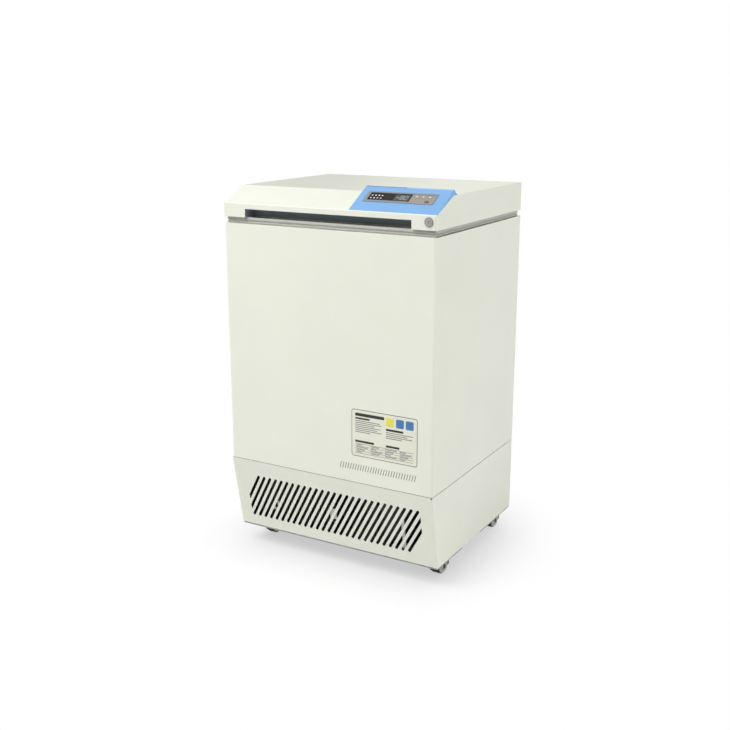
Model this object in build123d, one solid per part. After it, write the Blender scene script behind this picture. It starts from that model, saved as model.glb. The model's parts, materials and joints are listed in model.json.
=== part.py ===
from build123d import *
import math
import os

# Compact chest freezer for ultra low temperatures, on four casters.
# The insulated box stands above a machinery compartment with a leaning front grille.
# Millimetres. X runs across the front, Y from front to back, Z up from the floor.
# The origin is on the floor, under the middle of the overall box.

# Overall cabinet
cabinet_width = 677.0
body_depth = 574.0
floor_clearance = 65.0
lower_height = 229.0
upper_height = 711.0
seam_gap = 1.6
corner_radius = 8.0
sheet = 1.2
fit_gap = 0.3

# How far a cutter runs past what it cuts
over = 1.0

# Leaning front grille
lean_setback = 43.6
slot_pitch = 20.8
slot_width = 9.0
slot_angle = 30.0
slot_margin_bottom = 34.0
slot_margin_top = 51.0
slot_side_margin = 41.5

# Lid
lid_gap = 18.0
fascia_height = 39.5
slant_depth = 97.0
slant_rise = 42.3
lid_edge_radius = 3.0
lid_corner_radius = 2.5
rim_side = 42.0
rim_front = 84.0

# Gasket between lid and cabinet
gasket_width = 22.0
gasket_side_inset = 13.0
gasket_front_inset = 54.0

# Finger recess in the fascia
grip_side_margin = 73.5
grip_height = 24.0
grip_depth = 38.0
grip_wall = 2.0

# Tank, throat and lid plug
tank_width = 430.0
tank_length = 305.0
tank_depth = 475.0
tank_corner = 20.0
tank_wall = 1.0
tank_flange = 12.0
throat_thickness = 4.0
throat_lip = 8.0
plug_depth = 50.0
plug_clearance = 10.0
liner_wall = 2.5
foam_floor = 126.0

# Evaporator tube
tube_radius = 4.0
coil_turns = 3
coil_pitch = 110.0
coil_low = 60.0
coil_lead = 120.0
line_bend = 15.0

# Base, rails and posts
rail_thickness = 5.0
rail_front_length = 164.0
rail_rear_length = 228.0
tray_flange = 30.0
post_leg = 24.0
post_thickness = 2.0

# Casters
caster_side_inset = 46.5
caster_front_inset = 122.0
caster_rear_inset = 70.0
caster_plate = 58.0
caster_plate_thickness = 3.0
raceway_radius = 21.0
raceway_height = 6.0
kingpin_radius = 5.0
running_gap = 0.05
fork_gap = 0.4
fork_sheet = 2.5
fork_side_gap = 0.8
wheel_radius = 23.0
wheel_width = 28.0
wheel_hub_radius = 9.0
wheel_rim = 6.4
wheel_web = 12.0
caster_trail = 24.0
axle_radius = 4.0
axle_head = 7.0
axle_head_thickness = 2.5

# Hinges
hinge_side_inset = 108.5
hinge_length = 62.0
hinge_middle = 28.0
hinge_offset = 16.0
knuckle_radius = 12.0
hinge_plate = 3.0
hinge_plate_height = 46.0
hinge_pin_radius = 4.0
hinge_head_radius = 6.5
hinge_head = 2.5
hinge_side_gap = 0.4

# Lock
lock_side_inset = 22.5
lock_height = 21.6
lock_flange_radius = 12.0
lock_flange = 2.5
lock_body_radius = 9.5
lock_length = 22.0
cylinder_radius = 6.0
lock_projection = 4.0
key_slot_width = 1.4
key_slot_height = 7.0
key_slot_depth = 6.0
cam_thickness = 2.5
cam_half_width = 5.0
cam_reach = 32.0
toe_length = 8.0
toe_height = 4.0
keeper_sheet = 2.0
keeper_depth = 16.0
keeper_height = 16.0
keeper_foot = 14.0
toe_play = 2.5
cam_play = 1.0
cam_room = 1.5

# Console on the lid
console_width = 262.5
console_lip = 1.4
console_rim_depth = 99.0
console_rim_rise = 15.0
console_tail = 20.0
console_wall = 3.0
pocket_depth = 1.5

# Display: x runs from the left end of its frame, s up the face from the console's lip
frame_right_inset = 31.5
frame_x = (0.0, 210.0)
frame_s = (40.0, 87.0)
frame_proud = 1.2
window_x = (11.0, 136.0)
window_s = (48.0, 81.0)
window_thickness = 2.0
keypad_x = (136.4, 205.0)
keypad_s = (42.0, 81.0)
keypad_thickness = 2.2
sight_margin = 4.0
frame_corner = 4.0
board_depth = 8.0
board_thickness = 1.6
board_margin = 5.0
post_radius = 2.6
lamp_radius = 1.6
lamp_columns = (19.0, 29.0, 39.0, 49.0)
lamp_rows = (57.5, 69.5)
digits_x = (91.0, 130.0)
digits_s = (54.0, 75.0)
key_width = 12.5
key_length = 8.5
key_corner = 2.2
key_proud = 0.8
key_travel = 0.6
key_gap = 0.3
key_lift = 0.9
plunger_radius = 2.0
switch_height = 2.0
switch_half = 3.0
key_places = {"key_alarm": (152.0, 71.0), "key_up": (171.0, 71.0),
              "key_down": (190.0, 71.0), "key_set": (188.0, 51.0)}

# Machinery
compressor_radius = 70.0
compressor_height = 165.0
compressor_dome = 26.0
compressor_side_inset = 173.5
compressor_front_inset = 145.0
compressor_spacing = 190.0
foot_plate = 150.0
foot_thickness = 3.0
mount_radius = 9.0
mount_height = 14.0
mount_inset = 16.0
stub_height = 14.0
condenser_width = 270.0
condenser_height = 220.0
condenser_depth = 34.0
condenser_side_inset = 30.0
condenser_front_inset = 62.0
condenser_lift = 12.0
fin_pitch = 9.0
fin_thickness = 3.0
fin_core = 8.0
bend_count = 4
bend_reach = 14.0
bend_radius = 12.6
shroud_depth = 26.0
shroud_wall = 2.0
fan_radius = 92.0
fan_tip_gap = 5.0
fan_hub_radius = 26.0
fan_hub_length = 22.0
fan_blades = 5
blade_thickness = 2.0
blade_root_chord = 34.0
blade_tip_chord = 52.0
blade_root_pitch = 42.0
blade_tip_pitch = 24.0
shaft_radius = 4.0
shaft_length = 26.0
motor_radius = 38.0
motor_length = 46.0
motor_gap = 5.0
arm_width = 14.0
exchanger_size = (150.0, 110.0, 240.0)
exchanger_corner = 18.0
exchanger_side_inset = 40.0
exchanger_rear_gap = 46.0
expansion_radius = 48.0
expansion_height = 235.0
expansion_side_inset = 80.0
expansion_rear_inset = 80.0
drier_radius = 14.0
drier_length = 90.0
drier_spacing = 46.0
box_size = (62.0, 190.0, 190.0)
box_wall = 1.5
box_rear_inset = 40.0
inlet_width = 52.0
inlet_height = 34.0
inlet_flange = 6.0
inlet_depth = 24.0
inlet_wall = 3.0
inlet_side_inset = 90.0
inlet_lift = 70.0
blade_half = (1.0, 3.0)
blade_places = ((-12.0, -3.0), (0.0, 3.0), (12.0, -3.0))
vent_count = 22
vent_pitch = 22.0
vent_width = 8.0
vent_height = 90.0
vent_lift = 115.0

# Levels and faces worked out from the sizes above
hinge_reach = hinge_offset + knuckle_radius
half_width = cabinet_width / 2
overall_depth = lock_projection + body_depth + hinge_reach
front_y = -overall_depth / 2 + lock_projection
back_y = front_y + body_depth
middle_y = (front_y + back_y) / 2
skirt_z = floor_clearance
seam_z = skirt_z + lower_height
panel_top = seam_z - seam_gap
shell_top = seam_z + upper_height
lid_bottom = shell_top + lid_gap
fascia_top = lid_bottom + fascia_height
lid_top = fascia_top + slant_rise
tank_y = (front_y + gasket_front_inset + back_y - gasket_side_inset) / 2
tank_floor = shell_top - tank_depth
deck_top = tank_floor - tank_wall - foam_floor
deck_bottom = deck_top - sheet
tray_top = skirt_z + sheet
lean_angle = math.degrees(math.atan2(lean_setback, lower_height))
lean_sheet = sheet / math.cos(math.radians(lean_angle))
inner_half = half_width - sheet - fit_gap
grip_half = half_width - grip_side_margin
console_left = half_width - console_width
frame_left = half_width - frame_right_inset - frame_x[1]
compressor_x = half_width - compressor_side_inset
hinge_centers = (hinge_side_inset - half_width, half_width - hinge_side_inset)
slot_zone = cabinet_width - 2 * slot_side_margin
slot_count = round(slot_zone / slot_pitch)


# Helpers


def slab(x, y, z):
    """Box between pairs of low and high values."""
    size = (x[1] - x[0], y[1] - y[0], z[1] - z[0])
    return Pos((x[0] + x[1]) / 2, (y[0] + y[1]) / 2, (z[0] + z[1]) / 2) * Box(*size)


def upright(radius, x, y, z):
    """Upright cylinder between two levels."""
    return Pos(x, y, (z[0] + z[1]) / 2) * Cylinder(radius, z[1] - z[0])


def along_x(radius, x, y, z):
    """Cylinder along X between two x values."""
    return Pos((x[0] + x[1]) / 2, y, z) * Rot(0, 90, 0) * Cylinder(radius, x[1] - x[0])


def along_y(radius, x, y, z):
    """Cylinder along Y between two y values."""
    return Pos(x, (y[0] + y[1]) / 2, z) * Rot(90, 0, 0) * Cylinder(radius, y[1] - y[0])


def rounded_slab(x, y, z, radius):
    """Box with rounded upright edges, between pairs of low and high values."""
    outline = RectangleRounded(x[1] - x[0], y[1] - y[0], radius)
    return Pos((x[0] + x[1]) / 2, (y[0] + y[1]) / 2, z[0]) * extrude(outline, z[1] - z[0])


def side_prism(points, x):
    """Outline in the YZ plane, run along X between two x values."""
    outline = make_face(Polyline(*points, close=True))
    return Pos(x[0], 0, 0) * extrude(Plane.YZ * outline, x[1] - x[0])


def pipe(points, bends, radius=tube_radius):
    """Tube along straight runs joined by tangent arcs."""
    path = FilletPolyline(*points, radius=bends)
    start = Plane(origin=path @ 0, z_dir=path % 0)
    return sweep(start * Circle(radius), path=path)


def plan_block(inset, z, radius=corner_radius):
    """Upright block with the cabinet's plan and rounded front corners, inset from its skin."""
    outline = Rectangle(cabinet_width - 2 * inset, body_depth - 2 * inset)
    corners = outline.vertices().sort_by(Axis.Y)[:2]
    outline = fillet(corners, radius - inset)
    return Pos(0, middle_y, z[0]) * extrude(outline, z[1] - z[0])


def rim_opening(z, gap=0.0):
    """Block that fills the mouth inside the cabinet rim or the lid rim."""
    reach = half_width - rim_side - gap
    return slab((-reach, reach), (front_y + rim_front + gap, back_y - rim_side - gap), z)


def tank_block(inset, z):
    """Block with the plan of the tank's inner wall, inset all round."""
    x = tank_width / 2 - inset
    y = tank_length / 2 - inset
    return rounded_slab((-x, x), (tank_y - y, tank_y + y), z, tank_corner - inset)


# Base and lower compartment

tray_front = front_y + lean_setback + lean_sheet + fit_gap
tray_back = back_y - sheet - fit_gap


def base_tray():
    """Folded tray that carries the machinery."""
    outer = slab((-inner_half, inner_half), (tray_front, tray_back), (skirt_z, skirt_z + tray_flange))
    well = slab((sheet - inner_half, inner_half - sheet), (tray_front + sheet, tray_back - sheet),
                (tray_top, skirt_z + tray_flange + sheet))
    return outer - well


def base_rails():
    """Two cross rails under the tray, one for each pair of casters."""
    z = (skirt_z - rail_thickness, skirt_z)
    front = slab((-inner_half, inner_half), (tray_front, tray_front + rail_front_length), z)
    rear = slab((-inner_half, inner_half), (tray_back - rail_rear_length, tray_back), z)
    return [front, rear]


def frame_posts():
    """Four angle posts between the tray and the deck."""
    z = (tray_top, deck_bottom)
    edge = inner_half - sheet
    posts = []
    for side in (-1, 1):
        for y, way in ((tray_front + sheet, 1), (tray_back - sheet, -1)):
            x_flat = sorted((side * edge, side * (edge - post_leg)))
            x_thin = sorted((side * edge, side * (edge - post_thickness)))
            y_thin = sorted((y, y + way * post_thickness))
            y_flat = sorted((y, y + way * post_leg))
            posts.append(slab(x_flat, y_thin, z) + slab(x_thin, y_flat, z))
    return posts


def lower_panel(side):
    """Lower side panel, whose front edge follows the leaning grille."""
    points = [(front_y + lean_sheet, panel_top), (back_y, panel_top), (back_y, skirt_z),
              (front_y + lean_setback + lean_sheet, skirt_z)]
    return side_prism(points, sorted((side * half_width, side * (half_width - sheet))))


def grille_plane():
    """Plane of the leaning panel: its y runs up the panel and its z points out."""
    lean = math.radians(lean_angle)
    return Plane(origin=(0, front_y + lean_setback, skirt_z), x_dir=(1, 0, 0),
                 z_dir=(0, -math.cos(lean), -math.sin(lean)))


def front_grille():
    """Leaning front panel with slanted slots, cut off straight at both sides."""
    points = [(front_y, panel_top), (front_y + lean_sheet, panel_top),
              (front_y + lean_setback + lean_sheet, skirt_z), (front_y + lean_setback, skirt_z)]
    panel = side_prism(points, (-half_width, half_width))
    face_height = math.hypot(lower_height, lean_setback)
    zone_height = face_height - slot_margin_bottom - slot_margin_top
    zone_middle = slot_margin_bottom + zone_height / 2
    run = (zone_height - slot_width) * math.tan(math.radians(slot_angle))
    slot_length = math.hypot(zone_height - slot_width, run) + slot_width
    slot = Rot(0, 0, 90 - slot_angle) * SlotOverall(slot_length, slot_width)
    first = -(slot_count - 1) / 2 * slot_pitch
    slots = Sketch() + [Pos(first + i * slot_pitch, zone_middle) * slot for i in range(slot_count)]
    clip = Pos(0, zone_middle) * Rectangle(slot_zone, zone_height)
    cutter = extrude(grille_plane() * (slots & clip), 2 * sheet, both=True)
    return panel - cutter


def rear_grille():
    """Rear cover of the compartment, with a row of upright vents."""
    panel = slab((sheet - half_width, half_width - sheet), (back_y - sheet, back_y), (skirt_z, panel_top))
    first = -(vent_count - 1) / 2 * vent_pitch
    z = (skirt_z + vent_lift, skirt_z + vent_lift + vent_height)
    vents = []
    for i in range(vent_count):
        x = first + i * vent_pitch
        vents.append(slab((x - vent_width / 2, x + vent_width / 2), (back_y - 2 * sheet, back_y + sheet), z))
    x = half_width - inlet_side_inset
    z = skirt_z + inlet_lift
    hole = slab((x - inlet_width / 2, x + inlet_width / 2), (back_y - 2 * sheet, back_y + sheet),
                (z - inlet_height / 2, z + inlet_height / 2))
    return panel - vents - hole


# Insulated box


def outer_shell():
    """Front and sides of the upper cabinet in one sheet, with the top rim."""
    skin = plan_block(0, (seam_z, shell_top))
    hollow = plan_block(sheet, (seam_z - sheet, shell_top - sheet))
    rear = slab((sheet - half_width, half_width - sheet), (back_y - 2 * sheet, back_y + sheet),
                (seam_z - sheet, shell_top - sheet))
    return skin - hollow - rear - rim_opening((shell_top - 2 * sheet, shell_top + sheet))


def rear_panel():
    """Flat rear of the insulated box."""
    return slab((sheet - half_width, half_width - sheet), (back_y - sheet, back_y), (seam_z, shell_top - sheet))


chase_half = tube_radius + 2 * fit_gap
coil_half_x = tank_width / 2 + tank_wall + tube_radius + fit_gap
coil_half_y = tank_length / 2 + tank_wall + tube_radius + fit_gap
coil_back = tank_y + coil_half_y
coil_bottom = tank_floor + coil_low
coil_top = coil_bottom + coil_turns * coil_pitch
suction_y = coil_back + 10 * tube_radius


def line_chases(z_low):
    """Ways through the foam for the two tubes of the evaporator."""
    liquid = slab((coil_lead - chase_half, coil_lead + chase_half),
                  (coil_back - chase_half, coil_back + chase_half), (z_low, coil_bottom))
    suction = slab((-coil_lead - chase_half, chase_half - coil_lead),
                   (suction_y - chase_half, suction_y + chase_half), (z_low, coil_top))
    turn = slab((-coil_lead - chase_half, line_bend + chase_half - coil_lead),
                (coil_back - chase_half, suction_y + chase_half),
                (coil_top - line_bend - chase_half, coil_top + chase_half))
    return liquid + suction + turn


def deck_plate():
    """Steel plate between the compartment and the foam."""
    return plan_block(sheet + fit_gap, (deck_bottom, deck_top)) - line_chases(deck_bottom - sheet)


def throat_frame():
    """Plastic frame that closes the rim round the tank's mouth."""
    flush = rim_opening((shell_top - throat_thickness, shell_top), fit_gap)
    lip = rim_opening((shell_top - throat_thickness, shell_top - sheet - fit_gap), -throat_lip)
    return flush + lip - tank_block(0, (shell_top - 2 * throat_thickness, shell_top + sheet))


def foam_body():
    """Foam round the tank, with room for the evaporator tube."""
    block = plan_block(sheet + fit_gap, (deck_top, shell_top - sheet))
    recess = rim_opening((shell_top - throat_thickness - tank_wall, shell_top), -throat_lip - fit_gap)
    wrap = 2 * (tube_radius + fit_gap) + tank_wall
    pocket = tank_block(-wrap, (coil_bottom - coil_low / 2, shell_top))
    seat = tank_block(-tank_wall, (tank_floor - tank_wall, shell_top))
    return block - recess - pocket - seat - line_chases(deck_top - sheet)


def tank_liner():
    """Stainless tank with a flange under the throat frame."""
    top = shell_top - throat_thickness
    body = tank_block(-tank_wall, (tank_floor - tank_wall, top))
    flange = tank_block(-tank_wall - tank_flange, (top - tank_wall, top))
    return body + flange - tank_block(0, (tank_floor, shell_top))


def evaporator_coil():
    """One tube wrapped round the tank, with both ends led down through the deck."""
    corners = [(-coil_half_x, coil_half_y), (-coil_half_x, -coil_half_y),
               (coil_half_x, -coil_half_y), (coil_half_x, coil_half_y)]
    low_end = deck_bottom - coil_low / 3
    points = [(coil_lead, coil_back, low_end), (coil_lead, coil_back, coil_bottom)]
    for step in range(4 * coil_turns):
        x, y = corners[step % 4]
        points.append((x, tank_y + y, coil_bottom + coil_pitch * (step + 1) / 4))
    points += [(-coil_lead, coil_back, coil_top), (-coil_lead, suction_y, coil_top),
               (-coil_lead, suction_y, low_end)]
    wrap_bend = tank_corner + tank_wall + tube_radius
    return pipe(points, [line_bend] + 4 * coil_turns * [wrap_bend] + 2 * [line_bend])


# Machinery

compressor_y = [front_y + compressor_front_inset + i * compressor_spacing for i in range(2)]
foot_z = tray_top + mount_height
compressor_top = foot_z + foot_thickness + compressor_height
condenser_x = (-inner_half + condenser_side_inset, -inner_half + condenser_side_inset + condenser_width)
condenser_y = (front_y + condenser_front_inset, front_y + condenser_front_inset + condenser_depth)
condenser_z = (tray_top + condenser_lift, tray_top + condenser_lift + condenser_height)
fan_x = (condenser_x[0] + condenser_x[1]) / 2
fan_z = (condenser_z[0] + condenser_z[1]) / 2
shroud_y = (condenser_y[1], condenser_y[1] + shroud_depth)
motor_y = (shroud_y[1] + motor_gap, shroud_y[1] + motor_gap + motor_length)
expansion_x = expansion_side_inset - inner_half
expansion_y = back_y - expansion_rear_inset
exchanger_back = expansion_y - expansion_radius - exchanger_rear_gap
exchanger_x = (exchanger_side_inset - inner_half, exchanger_side_inset - inner_half + exchanger_size[0])
exchanger_y = (exchanger_back - exchanger_size[1], exchanger_back)
exchanger_z = (tray_top, tray_top + exchanger_size[2])


def mount_spots(y):
    """Places of the four rubber mounts under one compressor."""
    reach = foot_plate / 2 - mount_inset
    return [(compressor_x + i * reach, y + j * reach) for i in (-1, 1) for j in (-1, 1)]


def compressor(y):
    """Welded compressor shell on its foot plate, with terminal cover and stubs."""
    shell = upright(compressor_radius, compressor_x, y, (foot_z + foot_thickness, compressor_top))
    shell = fillet(shell.edges().filter_by(GeomType.CIRCLE), compressor_dome)
    middle = foot_z + foot_thickness + compressor_height / 2
    weld = upright(compressor_radius + foot_thickness, compressor_x, y, (middle, middle + foot_thickness))
    half = foot_plate / 2
    foot = rounded_slab((compressor_x - half, compressor_x + half), (y - half, y + half),
                        (foot_z, foot_z + foot_thickness), mount_inset)
    cover = slab((compressor_x - compressor_radius - mount_inset, compressor_x - compressor_radius / 2),
                 (y - mount_inset, y + mount_inset), (middle + mount_inset, middle + 3 * mount_inset))
    stub = upright(tube_radius + sheet, compressor_x, y, (compressor_top - sheet, compressor_top + stub_height))
    bores = [upright(mount_radius / 2, *spot, (foot_z - sheet, foot_z + 2 * foot_thickness))
             for spot in mount_spots(y)]
    return shell + weld + foot + cover + stub - bores


def compressor_mounts():
    """Rubber feet between the tray and the compressor plates, with a waist and a pip."""
    mounts = []
    for y in compressor_y:
        for spot in mount_spots(y):
            body = upright(mount_radius, *spot, (tray_top, foot_z))
            pip = upright(mount_radius / 2 - running_gap, *spot, (foot_z, foot_z + 2 * foot_thickness))
            mounts.append(body + pip)
    return mounts


def condenser():
    """Finned block with return bends at both ends."""
    middle = (condenser_y[0] + condenser_y[1]) / 2
    core = slab(condenser_x, (middle - fin_core / 2, middle + fin_core / 2), condenser_z)
    count = int(condenser_width / fin_pitch)
    fins = []
    for i in range(count):
        x = condenser_x[0] + fin_pitch / 2 + i * fin_pitch
        fins.append(slab((x - fin_thickness / 2, x + fin_thickness / 2), condenser_y, condenser_z))
    plates = [slab((x - sheet, x + sheet), condenser_y, (tray_top, condenser_z[1])) for x in
              (condenser_x[0] - sheet, condenser_x[1] + sheet)]
    block = core + fins + plates
    step = condenser_height / bend_count
    for i in range(bend_count):
        z = condenser_z[0] + (i + 0.5) * step
        for x, way in ((condenser_x[0] - 2 * sheet, -1), (condenser_x[1] + 2 * sheet, 1)):
            points = [(x, middle, z - bend_reach), (x + way * bend_reach, middle, z - bend_reach),
                      (x + way * bend_reach, middle, z + bend_reach), (x, middle, z + bend_reach)]
            block += pipe(points, bend_radius)
    return block


def fan_shroud():
    """Sheet cowl behind the condenser, with a round duct and arms to the motor."""
    outer = slab(condenser_x, shroud_y, condenser_z)
    inner = slab((condenser_x[0] + shroud_wall, condenser_x[1] - shroud_wall),
                 (shroud_y[0] - shroud_wall, shroud_y[1] - shroud_wall),
                 (condenser_z[0] + shroud_wall, condenser_z[1] - shroud_wall))
    duct_radius = fan_radius + fan_tip_gap
    duct = along_y(duct_radius + shroud_wall, fan_x, (shroud_y[0] + shroud_wall, shroud_y[1] - shroud_wall), fan_z)
    bore = along_y(duct_radius, fan_x, (shroud_y[0] - sheet, shroud_y[1] + sheet), fan_z)
    cowl = outer - inner + duct - bore
    y = (shroud_y[1] + motor_gap, shroud_y[1] + motor_gap + shroud_wall)
    ring = along_y(motor_radius + 2 * shroud_wall, fan_x, y, fan_z)
    reach = duct_radius + 2 * shroud_wall
    for side in (-1, 1):
        x = sorted((fan_x, fan_x + side * reach))
        ring += slab(x, y, (fan_z - arm_width / 2, fan_z + arm_width / 2))
        x = sorted((fan_x + side * duct_radius, fan_x + side * reach))
        ring += slab(x, (shroud_y[1] - shroud_wall, y[1]), (fan_z - arm_width / 2, fan_z + arm_width / 2))
    return cowl + ring - along_y(motor_radius + fit_gap, fan_x, (y[0] - sheet, y[1] + sheet), fan_z)


def fan_motor():
    """Round motor held in the arms' ring, with a bore for the rotor's shaft."""
    body = along_y(motor_radius, fan_x, motor_y, fan_z)
    body = fillet(body.edges().filter_by(GeomType.CIRCLE), shaft_radius)
    flange = along_y(motor_radius + 2 * shroud_wall, fan_x,
                     (motor_y[0] + shroud_wall, motor_y[0] + 2 * shroud_wall), fan_z)
    bore = along_y(shaft_radius + running_gap, fan_x, (motor_y[0] - sheet, motor_y[0] + shaft_length), fan_z)
    return body + flange - bore


def fan_rotor():
    """Hub with pitched blades and the shaft that runs in the motor."""
    hub_y = (motor_y[0] - motor_gap / 2 - fan_hub_length, motor_y[0] - motor_gap / 2)
    hub_middle = (hub_y[0] + hub_y[1]) / 2
    hub = along_y(fan_hub_radius, fan_x, hub_y, fan_z)
    shaft = along_y(shaft_radius, fan_x, (hub_y[0], motor_y[0] + shaft_length - motor_gap), fan_z)
    root = Plane(origin=(0, 0, fan_hub_radius - blade_thickness))
    tip = Plane(origin=(0, 0, fan_radius))
    blade = loft([root * Rot(0, 0, blade_root_pitch) * Rectangle(blade_root_chord, blade_thickness),
                  tip * Rot(0, 0, blade_tip_pitch) * Rectangle(blade_tip_chord, blade_thickness)])
    blades = [Pos(fan_x, hub_middle, fan_z) * Rot(0, 360 / fan_blades * i, 0) * blade
              for i in range(fan_blades)]
    return hub + shaft + blades


def heat_exchanger():
    """Foamed block that holds the cascade's plate exchanger."""
    block = rounded_slab(exchanger_x, exchanger_y, exchanger_z, exchanger_corner)
    return fillet(block.faces().sort_by(Axis.Z)[-1].edges(), exchanger_corner / 2)


def expansion_tank():
    """Upright steel vessel for the low stage gas."""
    z = (tray_top, tray_top + expansion_height)
    vessel = upright(expansion_radius, expansion_x, expansion_y, z)
    return fillet(vessel.edges().filter_by(GeomType.CIRCLE).sort_by(Axis.Z)[-1], compressor_dome)


drier_x = exchanger_x[1] + drier_spacing
drier_places = [(drier_x, (exchanger_y[0] + exchanger_y[1]) / 2 + i * drier_spacing) for i in (0, 1)]
drier_z = (tray_top, tray_top + drier_length + 2 * drier_radius)


def filter_driers():
    """Two upright copper driers, each on a clip foot."""
    driers = []
    for x, y in drier_places:
        body = upright(drier_radius, x, y, (drier_z[0] + drier_radius, drier_z[1] - drier_radius))
        body = chamfer(body.edges().filter_by(GeomType.CIRCLE), drier_radius / 2)
        stem = upright(tube_radius + sheet, x, y, drier_z)
        driers.append(body + stem)
    return driers


box_x = (inner_half - sheet - box_size[0], inner_half - sheet)
box_y = (back_y - box_rear_inset - box_size[1], back_y - box_rear_inset)
box_z = (tray_top, tray_top + box_size[2])


def control_box():
    """Sheet box for relays and start capacitors, open towards the panel side."""
    outer = slab(box_x, box_y, box_z)
    inner = slab((box_x[0] + box_wall, box_x[1] - box_wall), (box_y[0] + box_wall, box_y[1] - box_wall),
                 (box_z[0] + box_wall, box_z[1] - box_wall))
    cover = slab((box_x[0] - box_wall, box_x[0]), (box_y[0] - box_wall, box_y[1] + box_wall),
                 (box_z[0], box_z[1] + box_wall))
    return outer - inner + cover


def power_inlet():
    """Recessed mains inlet in the rear grille, with three flat pins."""
    x = half_width - inlet_side_inset
    z = skirt_z + inlet_lift
    half_x = inlet_width / 2 - fit_gap
    half_z = inlet_height / 2 - fit_gap
    flange = slab((x - half_x - inlet_flange, x + half_x + inlet_flange), (back_y, back_y + inlet_wall),
                  (z - half_z - inlet_flange, z + half_z + inlet_flange))
    body = slab((x - half_x, x + half_x), (back_y - inlet_depth, back_y + inlet_wall), (z - half_z, z + half_z))
    well = slab((x - half_x + inlet_wall, x + half_x - inlet_wall),
                (back_y + inlet_wall - inlet_depth, back_y + 2 * inlet_wall),
                (z - half_z + inlet_wall, z + half_z - inlet_wall))
    inlet = flange + body - well
    for shift, lift in blade_places:
        inlet += slab((x + shift - blade_half[0], x + shift + blade_half[0]),
                      (back_y - inlet_depth, back_y - inlet_wall),
                      (z + lift - blade_half[1], z + lift + blade_half[1]))
    return inlet


def refrigerant_lines():
    """Copper lines of both stages, end to end with the pieces that they join."""
    over = compressor_top + stub_height
    high_y, low_y = compressor_y
    lid_over = exchanger_z[1]
    end_x = exchanger_x[0] + 3 * exchanger_corner / 2
    line_z = (over + deck_bottom) / 2
    exchange_y = (exchanger_y[0] + exchanger_y[1]) / 2
    condenser_mid = (condenser_y[0] + condenser_y[1]) / 2
    bend = 2.5 * tube_radius
    lines = [
        pipe([(compressor_x, high_y, over), (compressor_x, high_y, line_z),
              (condenser_x[1] - bend, high_y, line_z), (condenser_x[1] - bend, condenser_mid, line_z),
              (condenser_x[1] - bend, condenser_mid, condenser_z[1])], bend),
        pipe([(compressor_x, low_y, over), (compressor_x, low_y, line_z),
              (end_x + 2 * bend, low_y, line_z), (end_x + 2 * bend, exchange_y, line_z),
              (end_x + 2 * bend, exchange_y, lid_over)], bend),
    ]
    for (x, y), shift in zip(drier_places, (-1, 1)):
        entry = exchange_y + shift * bend
        lines.append(pipe([(x, y, drier_z[1]), (x, y, lid_over + 3 * bend),
                           (exchanger_x[1] - 2 * bend, entry, lid_over + 3 * bend),
                           (exchanger_x[1] - 2 * bend, entry, lid_over)], bend))
    return lines


# Hinges

axis_y = back_y + hinge_offset
axis_z = shell_top + lid_gap / 2


def knuckle(x, plate_way):
    """Barrel round the hinge axis with the arm that joins it to its plate."""
    barrel = along_x(knuckle_radius, x, axis_y, axis_z)
    foot = axis_z + plate_way * knuckle_radius
    arm = slab(x, (back_y, axis_y), sorted((axis_z, foot)))
    return barrel + arm


def hinge_bore(center):
    """Bore through one whole hinge."""
    reach = hinge_length
    return along_x(hinge_pin_radius + running_gap, (center - reach, center + reach), axis_y, axis_z)


def hinge_bases():
    """Two lower hinge halves on the rear panel, with two knuckles each."""
    bases = []
    for center in hinge_centers:
        half = hinge_length / 2
        inner = hinge_middle / 2 + hinge_side_gap
        top = axis_z - knuckle_radius / 2
        plate = slab((center - half, center + half), (back_y, back_y + hinge_plate), (top - hinge_plate_height, top))
        base = plate + knuckle((center - half, center - inner), -1) + knuckle((center + inner, center + half), -1)
        relief = slab((center - inner, center + inner), (back_y - sheet, axis_y + knuckle_radius),
                      (axis_z - knuckle_radius - over, axis_z))
        bases.append(base - relief - hinge_bore(center))
    return bases


def hinge_leaves():
    """Two upper hinge halves on the back of the lid, with one knuckle each."""
    leaves = []
    for center in hinge_centers:
        half = hinge_length / 2
        low = lid_bottom + hinge_plate
        plate = slab((center - half, center + half), (back_y, back_y + hinge_plate), (low, low + hinge_plate_height))
        middle = (center - hinge_middle / 2, center + hinge_middle / 2)
        arm = slab(middle, (back_y, back_y + hinge_plate), (axis_z + knuckle_radius / 2, low))
        clear = slab(middle, (back_y - sheet, back_y + fit_gap), (axis_z - knuckle_radius, lid_bottom))
        leaves.append(plate + arm + knuckle(middle, 1) - clear - hinge_bore(center))
    return leaves


def hinge_pins():
    """Headed pins through both hinges."""
    pins = []
    for center in hinge_centers:
        half = hinge_length / 2
        shank = along_x(hinge_pin_radius, (center - half - hinge_head, center + half + hinge_head), axis_y, axis_z)
        for side in (-1, 1):
            x = sorted((center + side * half, center + side * (half + hinge_head)))
            shank += along_x(hinge_head_radius, x, axis_y, axis_z)
        pins.append(shank)
    return pins


# Lid


def lid_profile():
    """Side outline of the lid: fascia, slanted face, top and back."""
    points = [(front_y, lid_bottom), (front_y, fascia_top), (front_y + slant_depth, lid_top),
              (back_y, lid_top), (back_y, lid_bottom)]
    return make_face(Polyline(*points, close=True))


def lid_form(inset):
    """Closed form of the lid, inset from its skin but open at the bottom."""
    outline = lid_profile()
    if inset:
        outline = offset(outline, -inset, kind=Kind.INTERSECTION)
    upper = outline.vertices().filter_by(lambda v: v.Y > lid_bottom + fascia_height / 2)
    outline = fillet(upper, lid_edge_radius)
    across = extrude(Plane.YZ * outline, half_width - inset, both=True)
    return across & plan_block(inset, (lid_bottom - over, lid_top + over), lid_corner_radius)


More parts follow.
